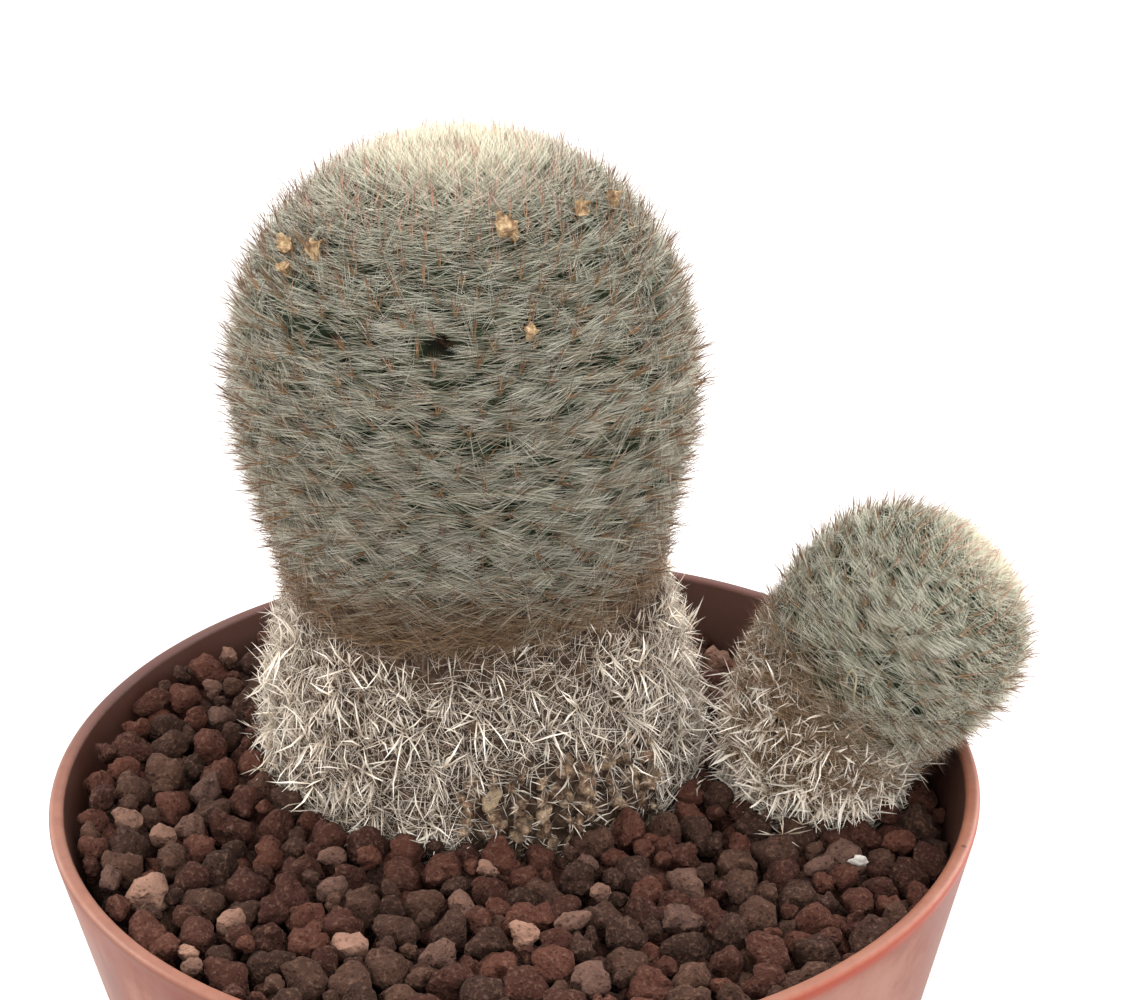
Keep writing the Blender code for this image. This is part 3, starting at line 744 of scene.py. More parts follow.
def make_gravel_bed():
    """The gravel below the stones, coloured near black as painted shade in the gaps between them: a disc
    whose top follows them and whose foot is on the mix.
    """
    start_fresh()
    level = GRAVEL_LEVEL - BED_BELOW
    bpy.ops.mesh.primitive_cylinder_add(
        vertices=96, radius=inner_radius(MIX_TOP) - GAP, depth=level - MIX_TOP - GAP,
        location=(0, 0, (level + MIX_TOP + GAP) / 2), end_fill_type="TRIFAN",
    )
    bed = bpy.context.object
    apply_place(bed)
    points = vertex_array(bed.data)
    upper = points[:, 2] > MIX_TOP + 2 * MM
    points[upper, 2] = gravel_height(points[upper, 0], points[upper, 1]) - BED_BELOW
    widths = inner_radius(points[:, 2]) - GAP
    points[:, :2] *= (widths / np.maximum(np.hypot(points[:, 0], points[:, 1]), GAP))[:, None]
    set_points(bed.data, points)
    set_values(bed.data, "tone", np.zeros(len(points)))
    # Painted shade: the bed is darker than any stone, so that the gaps between the stones read as shadow.
    fines_in_painted_shade = lava_rock("lava fines", [(0, "#170c09"), (1, "#2e1a14")])
    finish_piece(bed, "gravel_bed", fines_in_painted_shade, 30)


# The stems

def skin_radius(stem, heights):
    """The skin's radius at heights along the axis: a flared foot, a neck, then an egg-shaped head."""
    heights = np.asarray(heights, float)
    neck = stem["neck_radius"]
    share = np.clip(heights / stem["neck"], 0, 1)
    foot = neck + (stem["foot_radius"] - neck) * np.cos(share * math.pi / 2)
    share = np.clip((heights - stem["neck"]) / (stem["widest"] - stem["neck"]), 0, 1)
    belly = neck + (stem["widest_radius"] - neck) * share * share * (3 - 2 * share)
    share = np.clip((heights - stem["widest"]) / (stem["top"] - stem["widest"]), 0, 1)
    crown = stem["widest_radius"] * (1 - share ** HEAD_POWER) ** (1 / HEAD_POWER)
    return np.where(heights < stem["neck"], foot, np.where(heights < stem["widest"], belly, crown))


def lay_axis(stem):
    """The axis's points and turns at even steps, and a table of heights and their rows of areoles."""
    step = stem["top"] / AXIS_SAMPLES
    point = Vector((*stem["foot"], stem["lattice_start"]))
    heading = Matrix.Rotation(math.radians(stem["lean_towards"]), 3, "Z")
    points = []
    turns = []
    for sample in range(AXIS_SAMPLES + 1):
        share = min(1, sample / AXIS_SAMPLES / stem["bend_share"])
        lean = math.radians(stem["lean"]) * share * share * (3 - 2 * share)
        turn = heading @ Matrix.Rotation(lean, 3, "Y") @ heading.transposed()
        points.append(tuple(point))
        turns.append(turn)
        point += turn @ Vector((0, 0, step))
    stem["axis"] = np.array(points)
    stem["turns"] = np.array([[tuple(row) for row in turn] for turn in turns])
    sides = np.linspace(0, stem["widest"], 400)
    sweep = np.linspace(0, math.pi / 2, 300)[1:-1]
    cap = stem["widest"] + (stem["top"] - stem["widest"]) * np.sin(sweep) ** (2 / HEAD_POWER)
    heights = np.concatenate([sides, cap])
    radii = skin_radius(stem, heights)
    lengths = np.hypot(np.diff(heights), np.diff(radii))
    pitches = math.tau * (radii[1:] + radii[:-1]) / 2 / stem["columns"]
    rows = np.concatenate([[0], np.cumsum(lengths / pitches)])
    keep = (heights < stem["widest"]) | (radii > 0.05 * stem["widest_radius"])
    stem["table"] = heights[keep], rows[keep]


def on_skin(stem, angles, heights, lift=0.0):
    """Points on a stem, lift above its valleys."""
    place = np.clip(heights / stem["top"], 0, 1) * AXIS_SAMPLES
    low = np.minimum(place.astype(int), AXIS_SAMPLES - 1)
    share = (place - low)[:, None]
    centre = stem["axis"][low] * (1 - share) + stem["axis"][low + 1] * share
    radii = skin_radius(stem, heights) + lift
    spokes = np.stack([radii * np.cos(angles), radii * np.sin(angles), np.zeros(len(angles))], 1)
    return centre + np.einsum("nij,nj->ni", stem["turns"][low], spokes)


def skin_frames(stem, angles, heights):
    """The skin's outward, sideways and upward directions."""
    small = 0.2 * MM
    around = on_skin(stem, angles + 0.01, heights) - on_skin(stem, angles - 0.01, heights)
    up = on_skin(stem, angles, np.minimum(heights + small, stem["top"] - small / 4))
    up = up - on_skin(stem, angles, heights - small)
    out = np.cross(around, up)
    out /= np.linalg.norm(out, axis=1)[:, None]
    side = around / np.linalg.norm(around, axis=1)[:, None]
    return out, side, np.cross(out, side)


def areole_lattice(stem):
    """Angles, heights and sizes of the areoles: columns whose every other row is shifted by half a column.
    They are as wide as they are high, so they get smaller and closer to the crown. Size is 1 on the sides."""
    heights, rows = stem["table"]
    count = int(rows[-1] * 2)
    angles = []
    levels = []
    for row in range(1, count + 1):
        height = np.interp(row / 2, rows, heights)
        shift = 0.5 * (row % 2)
        angles.append((np.arange(stem["columns"]) + shift) * math.tau / stem["columns"])
        levels.append(np.full(stem["columns"], height))
    angles = np.concatenate(angles)
    levels = np.concatenate(levels)
    sizes = skin_radius(stem, levels) / stem["widest_radius"]
    return angles, levels, np.clip(sizes, 0, 1)


def skin_relief(stem, columns, rows, sizes):
    """Tubercles, as a lift above the valleys: a peak at each areole."""
    wave = np.cos(math.tau * columns) * np.cos(math.tau * rows)
    return stem["tubercle"] * sizes * ((1 + wave) / 2) ** 1.2


FACES_A_TUBERCLE = 5  # across one, in the skin's grid

# The dark dry hollow in the front of the main head, where the spines are gone.
PIT = {"angle": math.radians(-93.9), "height": 123 * MM, "half_width": 4.1 * MM, "half_height": 2.7 * MM}
PIT_DEPTH = 2.4 * MM
PIT_THROUGH = 12 * MM  # points farther than this from its level are on the stem's other side


def pit_share(stem, points):
    """1 in the middle of the dark hollow, falling to 0 at its edge."""
    if stem is not MAIN_STEM:
        return np.zeros(len(points))
    angle = np.array([PIT["angle"]])
    height = np.array([PIT["height"]])
    centre = on_skin(stem, angle, height)[0]
    out, side, up = [way[0] for way in skin_frames(stem, angle, height)]
    spans = points - centre
    across = np.hypot(spans @ side / PIT["half_width"], spans @ up / PIT["half_height"])
    return np.clip(1.6 * (1 - across), 0, 1) * (np.abs(spans @ out) < PIT_THROUGH)


def age_at(stem, angles, heights, draw=None):
    """0 on the green head, 1 on cork. The border waves, and single spines mix across it."""
    border = stem["green_from"] - stem["green_dips"] * np.cos(angles)
    border = border + 2.5 * MM * np.sin(3 * angles + 1) + 1.5 * MM * np.sin(7 * angles)
    spread = draw.normal(0, 3 * MM, len(heights)) if draw is not None else 0
    return np.clip((border + spread - heights) / (7 * MM), 0, 1)


def patchy(points, size, seed):
    """Smooth random values round 0, from about -1 to 1, in patches of this size."""
    shift = Vector((seed, 2 * seed, 0))
    return np.array([1.7 * noise.noise(Vector(point) / size + shift) for point in points])


def make_skin(stem):
    """The stem's skin: a grid rolled up on the stem's shape, with raised tubercles and closed ends."""
    heights, rows = stem["table"]
    across = stem["columns"] * FACES_A_TUBERCLE
    upright = int(rows[-1] * FACES_A_TUBERCLE)
    start_fresh()
    bpy.ops.mesh.primitive_grid_add(x_subdivisions=across, y_subdivisions=upright, size=2)
    skin = bpy.context.object
    points = vertex_array(skin.data)
    columns = (points[:, 0] + 1) / 2 * stem["columns"]
    row = (points[:, 1] + 1) / 2 * upright / FACES_A_TUBERCLE
    level = np.interp(row, rows, heights)
    angles = columns * math.tau / stem["columns"]
    sizes = np.clip(skin_radius(stem, level) / stem["widest_radius"], 0, 1)
    relief = skin_relief(stem, columns, row, sizes)
    pit = pit_share(stem, on_skin(stem, angles, level))
    placed = on_skin(stem, angles, level, relief * (1 - pit) - PIT_DEPTH * pit)
    set_points(skin.data, placed)
    set_values(skin.data, "age", age_at(stem, angles, level))
    set_values(skin.data, "pit", pit)
    edit(skin)
    bpy.ops.mesh.select_all(action="SELECT")
    bpy.ops.mesh.remove_doubles(threshold=0.02 * MM)
    close_skin(stem, skin)
    slot = stem["name"]
    waxy = cactus_skin(f"{slot} skin")
    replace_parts(finish_piece(skin, f"{slot}_skin", waxy, 180), slot)


def close_skin(stem, skin):
    """Extrudes the skin's lower edge to the flat seat and its root, and closes that and the crown."""
    edit(skin)
    bm = bmesh.from_edit_mesh(skin.data)
    middle = stem["lattice_start"] + stem["top"] / 3
    for edge in bm.edges:
        edge.select_set(edge.is_boundary and edge.verts[0].co.z < middle)
    bmesh.update_edit_mesh(skin.data)
    radius = stem["foot_radius"]
    root_radius, end_radius, depth = stem["root"]
    level = stem["lattice_start"]
    seat = MIX_TOP + GAP
    for wider, lower in (
        (radius, seat), (root_radius, seat), (root_radius, MIX_TOP - depth / 2), (end_radius, MIX_TOP - depth)
    ):
        extrude_ring(lower - level, wider / radius, (*stem["foot"], lower))
        radius = wider
        level = lower
    bpy.ops.mesh.merge(type="CENTER")
    bpy.ops.mesh.select_all(action="DESELECT")
    bpy.ops.mesh.select_non_manifold()
    bpy.ops.mesh.merge(type="CENTER")
    bpy.ops.mesh.select_all(action="SELECT")
    bpy.ops.mesh.normals_make_consistent(inside=False)
    start_fresh()


# Spines

NEEDLE = ((0, 1),)  # the bend and the foot's share of the width of each model of a set
HAIRS = ((0, 1), (0, 1), (0, 1), (4, 0.8))
BENT_SPINES = ((-5, 0.5), (2, 0.4), (6, 0.6))

TIP_CLEARANCE = 2 * MM  # between a spine's tip and the gravel's surface
RIM_CLEARANCE = 0.5 * MM
WALL_CLEARANCE = 0.4 * MM


def model_spine(bend, foot):
    """A three-sided needle, 1 long and 1 in radius, which runs up Z. A bent one has a joint halfway, a tip
    that lies aside by bend spine radii, and a thinner foot."""
    if not bend:
        return take_pattern(model_cone(3, foot, 0, 1, 0.5))
    spine = model_cone(3, foot, 1, 0.5, 0.25)
    edit(spine)
    bm = bmesh.from_edit_mesh(spine.data)
    for face in bm.faces:
        if all(point.co.z > 0.4 for point in face.verts):
            face.select_set(True)
    bmesh.update_edit_mesh(spine.data)
    bpy.ops.mesh.extrude_region_move(TRANSFORM_OT_translate={"value": (bend, 0, 0.5)})
    bpy.ops.mesh.merge(type="CENTER")
    return take_pattern(spine)


def spine_matrices(ways, lengths, widths, draw):
    """Matrices that stand a needle along each way, at its length and radius, turned anyhow about itself."""
    helper = np.where(np.abs(ways[:, 2:]) < 0.9, [[0.0, 0.0, 1.0]], [[1.0, 0.0, 0.0]])
    x = np.cross(ways, helper)
    x /= np.linalg.norm(x, axis=1)[:, None]
    y = np.cross(ways, x)
    turn = draw.uniform(0, math.tau, len(ways))[:, None]
    side = x * np.cos(turn) + y * np.sin(turn)
    other = np.cross(ways, side)
    return np.stack([side * widths[:, None], other * widths[:, None], ways * lengths[:, None]], 2)


def tidy_spines(roots, ways, lengths):
    """Lifts spines off the gravel, and keeps those that stay clear of the pot's wall."""
    tips = roots + ways * lengths[:, None]
    ground = gravel_height(tips[:, 0], tips[:, 1]) + TIP_CLEARANCE
    lowest = np.minimum(ground, roots[:, 2] + TIP_CLEARANCE)
    inside_pot = np.hypot(tips[:, 0], tips[:, 1]) < inner_radius(POT_HEIGHT)
    tips[:, 2] = np.where(inside_pot, np.maximum(tips[:, 2], lowest), tips[:, 2])
    spans = tips - roots
    lengths = np.linalg.norm(spans, axis=1)
    ways = spans / lengths[:, None]
    keep = np.ones(len(roots), bool)
    for share in (0.5, 0.75, 1):
        points = roots + spans * share
        radii = np.hypot(points[:, 0], points[:, 1])
        above_rim = points[:, 2] > POT_HEIGHT + RIM_CLEARANCE
        keep &= above_rim | (radii < inner_radius(points[:, 2]) - WALL_CLEARANCE)
    return ways, lengths, keep


def lay_spines(stem, angles, heights, lift, turns, rises, lengths, widths, foot, draw):
    """Spines on the skin at angles and heights. Each turns away from sideways along the skin, rises off it,
    and starts a foot's length out from its areole's middle. Lift and foot may be one number for all. Returns
    matrices, roots and which were kept."""
    out, side, up = skin_frames(stem, angles, heights)
    flat = side * np.cos(turns)[:, None] + up * np.sin(turns)[:, None]
    ways = flat * np.cos(rises)[:, None] + out * np.sin(rises)[:, None]
    starts = on_skin(stem, angles, heights, lift) + flat * np.reshape(foot, (-1, 1))
    ways, lengths, keep = tidy_spines(starts, ways, lengths)
    keep &= pit_share(stem, starts + ways * lengths[:, None] / 2) == 0
    matrices = spine_matrices(ways, lengths, widths, draw)
    return matrices[keep], starts[keep], keep


def spine_batches(models, matrices, starts, ages, tones, draw):
    """Spines of several models, each with what its material reads: along, tone and age."""
    patterns = [model_spine(bend, foot) for bend, foot in models]
    kinds = draw.integers(0, len(patterns), len(starts))
    batches = []
    for kind, pattern in enumerate(patterns):
        chosen = kinds == kind
        along = np.broadcast_to(np.clip(pattern[0][:, 2], 0, 1), (chosen.sum(), len(pattern[0])))
        values = {"along": along, "tone": tones[chosen], "age": ages[chosen]}
        batches.append((pattern, matrices[chosen], starts[chosen], values))
    return batches


def stamp_spines(stem, name, models, laid, ages, tones, horn, draw):
    """One piece of a stem, made of the spines that lay_spines returned and kept."""
    matrices, starts, keep = laid
    batches = spine_batches(models, matrices, starts, ages[keep], tones[keep], draw)
    stamp(f"{stem['name']}_{name}", batches, horn)


RADIAL_BUNDLES = 16  # radial spines cling together in bundles, half of them to each side of an areole
SPINES_BELOW_GREEN = 14 * MM  # the spines of the head go on into the brown zone by this
CROWN_FROM = 0.72  # the areoles' size where the crown starts
CROWN_SPAN = 0.5  # and how much smaller they are where its look is complete
SHOULDER = (0.77, 0.14)  # the sparse ring's middle and width, of the way from the widest level to the top
SPARSEST = 0.58  # of the usual number of radial spines


def make_head_spines(stem, draw):
    """All that stands on the living areoles."""
    angles, heights, sizes = areole_lattice(stem)
    living = heights > stem["green_from"] - stem["green_dips"] - SPINES_BELOW_GREEN
    angles = angles[living] + draw.normal(0, 0.02, living.sum())
    heights = heights[living] + draw.normal(0, 0.65 * MM, living.sum()) * sizes[living]
    sizes = sizes[living]
    whole = pit_share(stem, on_skin(stem, angles, heights)) == 0
    sizes = sizes[whole]
    areoles = angles[whole], heights[whole], sizes
    crown = np.clip((CROWN_FROM - sizes) / CROWN_SPAN, 0, 1) ** 1.3
    lift = stem["tubercle"] * sizes + 0.1 * MM
    make_radial_spines(stem, areoles, crown, lift, draw)
    make_central_spines(stem, areoles, crown, lift, draw)
    make_areole_pads(stem, areoles, lift)


def make_radial_spines(stem, areoles, crown, lift, draw):
    """Thin white spines in bundles that lie along the skin to both sides, and anyhow on the crown. They are
    sparser in patches and on the shoulder, and some bundles are dirty, more of them lower down."""
    angles, heights, sizes = areoles
    name = stem["name"]
    climb = np.clip((heights - stem["widest"]) / (stem["top"] - stem["widest"]), 0, 1)
    places = on_skin(stem, angles, heights)
    density = 1 + 0.5 * patchy(places * [1, 1, 3.5], 15 * MM, 3) * (1 - crown)
    shoulder = np.exp(-((climb - SHOULDER[0]) / SHOULDER[1]) ** 2)
    density *= 1 - shoulder * (0.35 + 0.6 * patchy(places, 9 * MM, 11))
    density = np.maximum(density, SPARSEST)
    sway = 0.1 * patchy(places, 22 * MM, 7)
    room = np.clip(sizes ** 2 * (1 + 0.7 * crown), 0.02, 1.3)
    counts = np.round(stem["radials"] * density * room).astype(int)
    owners = np.repeat(np.arange(len(angles)), counts)
    total = len(owners)
    shape = (len(angles), RADIAL_BUNDLES)
    lies = np.arange(RADIAL_BUNDLES) % 2 * math.pi + draw.normal(0, 0.15, shape) + sway[:, None]
    astray = 0.08 + stem["tone"] / 3 + 0.5 * np.maximum(crown, 0.8 * climb ** 4)
    lies += (draw.uniform(0, 1, shape) < astray[:, None]) * draw.uniform(-1.6, 1.6, shape)
    rises = draw.uniform(1, 29, shape) + 42 * crown[:, None]
    bundle = draw.integers(0, RADIAL_BUNDLES, total)
    turns = lies[owners, bundle] + draw.normal(0, 0.13, total)
    rises = np.radians(rises[owners, bundle] + draw.normal(0, 4, total))
    shortest, longest = stem["radial_length"]
    lengths = draw.uniform(shortest, longest, total) * (0.7 + 0.3 * sizes[owners])
    widths = draw.uniform(0.065, 0.105, total) * MM * stem["radial_width"]
    foot = draw.uniform(-1, 3.6, total) * MM * sizes[owners]
    lift_here = lift[owners] * draw.uniform(0.5, 1, total)
    levels = heights[owners] + draw.normal(0, 0.8 * MM, total) * sizes[owners]
    matrices, starts, keep = lay_spines(stem, angles[owners], levels, lift_here, turns, rises,
                                        lengths, widths, foot, draw)

    chance = np.interp(heights, [stem["green_from"], stem["top"]], [0.5, 0.2])[:, None] - stem["tone"] / 2
    dirty = (draw.uniform(0, 1, shape) < chance) * draw.uniform(0.2, 0.9, shape) * (1 - crown[:, None])
    ages = np.maximum(age_at(stem, angles[owners], heights[owners], draw), dirty[owners, bundle])[keep]
    bundle_tones = draw.uniform(0, 1, shape)[owners, bundle]
    tones = stem["tone"] + 0.65 * draw.uniform(0, 1, total) + 0.4 * bundle_tones
    tones += (0.72 - stem["tone"]) * crown[owners]
    tones = tones[keep]
    # The young colours are partly painted light: the dark feet are dirt and painted shade among the spines,
    # and the pale tips are painted back light.
    white = spine_horn(
        f"{name} radial spine horn",
        [(0, "#565a43"), (0.3, "#9b9d87"), (0.65, "#ccc9b8"), (0.92, "#f3ebdb")],
        [(0, "#5a432c"), (0.5, "#8a6d4f"), (1, "#a98c6a")],
    )
    half = len(starts) // 2
    for part, chosen in (("lower", slice(0, half)), ("upper", slice(half, None))):
        batches = spine_batches(NEEDLE, matrices[chosen], starts[chosen], ages[chosen], tones[chosen], draw)
        stamp(f"{name}_radial_spines_{part}", batches, white)


def make_central_spines(stem, areoles, crown, lift, draw):
    """Stouter brown spines that stand off the skin and point up, pink with dark tips on the crown."""
    angles, heights, sizes = areoles
    counts = stem["centrals"] * np.clip(sizes ** 2 * (1 + 0.5 * crown), 0.012, 1)
    counts = (counts * draw.uniform(0.6, 1.3, len(counts)) + draw.uniform(0, 1, len(counts))).astype(int)
    owners = np.repeat(np.arange(len(angles)), counts)
    total = len(owners)
    turns = draw.normal(math.pi / 2, 0.3, total)
    rises = np.radians(draw.uniform(28, 80, total))
    shortest, longest = stem["central_length"]
    lengths = draw.uniform(shortest, longest, total) * (0.75 + 0.25 * sizes[owners])
    widths = draw.uniform(0.11, 0.17, total) * MM
    laid = lay_spines(stem, angles[owners], heights[owners], lift[owners], turns, rises,
                      lengths, widths, 0.3 * MM, draw)
    ages = np.clip(1 - crown[owners] ** 0.7 * 1.2, 0, 1)
    tones = draw.uniform(0.1, 1.1, total)
    brown = spine_horn(
        f"{stem['name']} central spine horn",
        [(0, "#e0d0b8"), (0.35, "#d9a590"), (0.75, "#b56357"), (1, "#54403c")],
        [(0, "#a08a66"), (0.3, "#94704f"), (0.65, "#6f4a37"), (1, "#2e1e19")],
    )
    stamp_spines(stem, "central_spines", NEEDLE, laid, ages, tones, brown, draw)


def make_areole_pads(stem, areoles, lift):
    """The felt pad that each areole's spines stand in: a low cone on its tubercle."""
    angles, heights, sizes = areoles
    name = stem["name"]
    pattern = take_pattern(model_cone(6, 1, 0, 1, 0.2))
    out, side, up = skin_frames(stem, angles, heights)
    width = (0.22 + 0.4 * sizes) * MM
    matrices = np.stack([side * width[:, None], up * width[:, None] * 1.2, out * width[:, None]], 2)
    places = on_skin(stem, angles, heights, lift)
    colours = [(0.3, "#3d2e20"), (0.6, "#5f4c36"), (1, "#85714f")]
    felt = plain_fibre(f"{name} areole felt", colours, 0.8 * MM)
    stamp(f"{name}_areoles", [(pattern, matrices, places, {})], felt, 60)


# The trunk

# The main trunk's front, where the spines have come off its tubercles.
BARE_ANGLES = (math.radians(-97), math.radians(-38))
BARE_HEIGHTS = (2 * MM, 29 * MM)
BARE_COLUMN = 5.4 * MM
BARE_ROW = 3.9 * MM
PALE_TUBERCLE = (math.radians(-87.7), 19.7 * MM)
BARE_SHAPE = (2, 2.4, 2.9)  # half width, half height and half depth of one of size 1
STUB_LIFT = 2.9 * MM

# Angles in degrees and heights in mm of the tufts that stand out on the main trunk.
TUFTS = ((-144.2, 15.5), (-128.2, 47.3), (-133, 9), (-118, 12), (-122, 26), (-104, 16), (-150, 30), (-90, 40))


def bare_share(stem, angles, heights):
    """1 where the main trunk has lost its spines, 0 elsewhere, with a ragged edge."""
    if stem is not MAIN_STEM:
        return np.zeros(len(angles))
    turned = (angles + math.pi) % math.tau - math.pi
    edge = np.radians(7)
    top = BARE_HEIGHTS[1] + 3 * MM * np.sin(9 * angles)
    after_first = np.clip((turned - BARE_ANGLES[0]) / edge, 0, 1)
    before_last = np.clip((BARE_ANGLES[1] - turned) / edge, 0, 1)
    below_top = np.clip((top - heights) / (6 * MM), 0, 1)
    above_foot = np.clip((heights - BARE_HEIGHTS[0]) / (3 * MM), 0, 1)
    return after_first * before_last * (below_top * above_foot)


def bleached_share(stem, angles, heights):
    """1 on the bleached trunk, 0 in the brown zone above it."""
    border = stem["bleached_to"] - stem["green_dips"] * np.cos(angles) + 3 * MM * np.sin(4 * angles)
    return np.clip((border - heights) / (9 * MM), 0, 1)


def trunk_turns(stem, number, draw):
    """Ways for dead spines to lie: a share of them nearly along the axis, the others anyhow."""
    along = draw.choice([-1, 1], number) * math.pi / 2 + draw.normal(0, 0.5, number)
    return np.where(draw.uniform(0, 1, number) < stem["upright"], along, draw.uniform(0, math.tau, number))


def make_trunk_spines(stem, draw):
    """The dead spines of the trunk."""
    horn = spine_horn(
        f"{stem['name']} dead spine horn",
        [(0, "#503a29"), (0.5, "#7f654f"), (1, "#a68f76")],
        [(0, "#b4a48f"), (0.3, "#dacfbf"), (1, "#f2ece1")],
        roughness=0.6,
    )
    make_mat(stem, horn, draw)
    make_dead_spines(stem, horn, draw)
    make_tufts(stem, horn, draw)
    if stem is MAIN_STEM:
        make_bare_tubercles(stem, horn, draw)


def make_mat(stem, horn, draw):
    """Thin dirty spines that cover the trunk, fewer of them in the brown zone, where they lie sideways."""
    number = stem["mat"]
    angles = draw.uniform(0, math.tau, number)
    heights = draw.uniform(0, stem["green_from"] + 3 * MM, number)
    bare = bare_share(stem, angles, heights)
    present = draw.uniform(0, 1, number) > 0.94 * bare
    present &= draw.uniform(0, 1, number) < 0.4 + 0.6 * bleached_share(stem, angles, heights + 6 * MM)
    angles = angles[present]
    heights = heights[present]
    number = len(angles)
    bleached = bleached_share(stem, angles, heights)
    across = draw.integers(0, 2, number) * math.pi + draw.normal(0, 0.5, number)
    turns = np.where(draw.uniform(0, 1, number) < 0.3 + bleached, draw.uniform(0, math.tau, number), across)
    rises = np.radians(draw.uniform(0, 38, number))
    lengths = draw.uniform(3.4, 7.4, number) * MM * stem["mat_length"]
    widths = draw.uniform(0.065, 0.12, number) * MM
    lift = draw.uniform(0.1, 1.1, number) * stem["tubercle"]
    laid = lay_spines(stem, angles, heights, lift, turns, rises, lengths, widths, 0, draw)
    ages = np.clip(bleached * draw.uniform(0.1, 1.2, number), 0, 1)
    tones = stem["tone"] + draw.uniform(0.25, 1.4, number)
    stamp_spines(stem, "mat_of_dead_spines", HAIRS, laid, ages, tones, horn, draw)


def make_dead_spines(stem, horn, draw):
    """Bleached bent spines over the mat, at the trunk's areoles."""
    angles, heights, _ = areole_lattice(stem)
    dead = heights < stem["bleached_to"] + 4 * MM
    angles = angles[dead] + draw.normal(0, 0.05, dead.sum())
    heights = heights[dead] + draw.normal(0, 1.2 * MM, dead.sum())
    share = np.clip((stem["bleached_to"] - heights) / (0.4 * stem["bleached_to"]), 0, 1)
    grown = share * bleached_share(stem, angles, heights) * (1 - 0.96 * bare_share(stem, angles, heights))
    counts = np.round(stem["dead"] * grown * draw.uniform(0.2, 1.8, len(angles))).astype(int)
    owners = np.repeat(np.arange(len(angles)), counts)
    total = len(owners)
    turns = trunk_turns(stem, total, draw)
    rises = np.radians(draw.uniform(4, 50, total))
    lengths = draw.uniform(3.8, 8.4, total) * MM * (0.5 + 0.5 * share[owners])
    widths = (0.12 + 0.15 * draw.uniform(0, 1, total) ** 2) * MM * stem["dead_width"]
    lift = draw.uniform(0.6, 1.2, total) * stem["tubercle"]
    foot = draw.uniform(0, 2, total) * MM
    laid = lay_spines(stem, angles[owners], heights[owners], lift, turns, rises, lengths, widths, foot, draw)
    ages = np.clip(draw.normal(0.85, 0.25, total), 0, 1)
    tones = stem["tone"] + draw.uniform(0.45, 1.42, total)
    stamp_spines(stem, "dead_spines", BENT_SPINES, laid, ages, tones, horn, draw)


def make_tufts(stem, horn, draw):
    """Areoles whose dead spines are the longest and whitest, each a loose tuft of two to five."""
    number = stem["random_tufts"]
    angles = draw.uniform(0, math.tau, number)
    heights = draw.uniform(3 * MM, 0.8 * stem["bleached_to"], number)
    if stem is MAIN_STEM:
        angles = np.concatenate([np.radians([angle for angle, _ in TUFTS]), angles])
        heights = np.concatenate([[height * MM for _, height in TUFTS], heights])
    spread = bare_share(stem, angles, heights) < 0.3
    angles = angles[spread]
    heights = heights[spread]
    owners = np.repeat(np.arange(len(angles)), draw.integers(2, 6, len(angles)))
    total = len(owners)
    turns = trunk_turns(stem, total, draw)
    rises = np.radians(draw.uniform(6, 46, total))
    lengths = draw.uniform(5.5, 10, total) * MM
    widths = draw.uniform(0.2, 0.3, total) * MM
    lift = 1.3 * stem["tubercle"]
    laid = lay_spines(stem, angles[owners], heights[owners], lift, turns, rises,
                      lengths, widths, 0.5 * MM, draw)
    tones = draw.uniform(0.9, 1.4, total)
    stamp_spines(stem, "white_tufts", BENT_SPINES, laid, np.ones(total), tones, horn, draw)


def make_bare_tubercles(stem, horn, draw):
    """Corky tubercles in columns, where the trunk's front has lost its spines, each with a star of stubs."""
    turn = BARE_COLUMN / stem["foot_radius"]
    columns = np.arange(BARE_ANGLES[0] + turn / 2, BARE_ANGLES[1], turn)
    rows = np.arange(BARE_HEIGHTS[0], BARE_HEIGHTS[1], BARE_ROW)
    angles, heights = [grid.ravel() for grid in np.meshgrid(columns, rows)]
    angles = angles + draw.normal(0, 0.018, len(angles))
    heights = heights + draw.normal(0, 0.5 * MM, len(heights)) + 2 * MM * np.sin(21 * angles)
    patterns = [model_stone(20 + number, 3) for number in range(6)]
    out, side, up = skin_frames(stem, angles, heights)
    sizes = draw.uniform(0.65, 1.2, (len(angles), 1)) * MM
    wide, high, deep = BARE_SHAPE
    matrices = np.stack([side * wide * sizes, up * high * sizes, out * deep * sizes], 2)
    places = on_skin(stem, angles, heights, 0.5 * stem["tubercle"])
    tones = draw.uniform(0, 0.75, len(angles))
    from_pale = np.hypot((angles - PALE_TUBERCLE[0]) * stem["foot_radius"], heights - PALE_TUBERCLE[1])
    tones[from_pale.argmin()] = 1.2
    kinds = draw.integers(0, len(patterns), len(angles))
    batches = [
        (pattern, matrices[kinds == kind], places[kinds == kind], {"tone": tones[kinds == kind]})
        for kind, pattern in enumerate(patterns)
    ]
    stamp("main_stem_bare_tubercles", batches, bare_cork(), 60)

    owners = np.repeat(np.arange(len(angles)), draw.integers(4, 12, len(angles)))
    total = len(owners)
    rises = np.radians(draw.uniform(5, 65, total))
    lengths = draw.uniform(1.4, 4.8, total) * MM
    widths = draw.uniform(0.1, 0.2, total) * MM
    turns = draw.uniform(0, math.tau, total)
    laid = lay_spines(stem, angles[owners], heights[owners], STUB_LIFT, turns, rises,
                      lengths, widths, 0.3 * MM, draw)
    ages = draw.uniform(0.2, 1, total)
    tones = draw.uniform(0, 1.2, total)
    stamp_spines(stem, "spine_stubs", BENT_SPINES, laid, ages, tones, horn, draw)


# Small things on the plant and on the gravel

# Angle in degrees and height in mm on the main stem, and size in mm.
DRIED_FLOWERS = (
    (-67.6, 140.3, 2.4), (-70.9, 141.6, 1.5), (-32.3, 140.8, 1.9), (-13.4, 138.1, 1.8), (-154.1, 134.5, 1.9),
    (-139.8, 135.5, 2.0), (-71.3, 124.2, 1.5), (-148, 131.5, 1.4),
)
FLOWER_SHAPES = 3
FLOWER_LIFT = 3.1 * MM  # above the skin's valleys


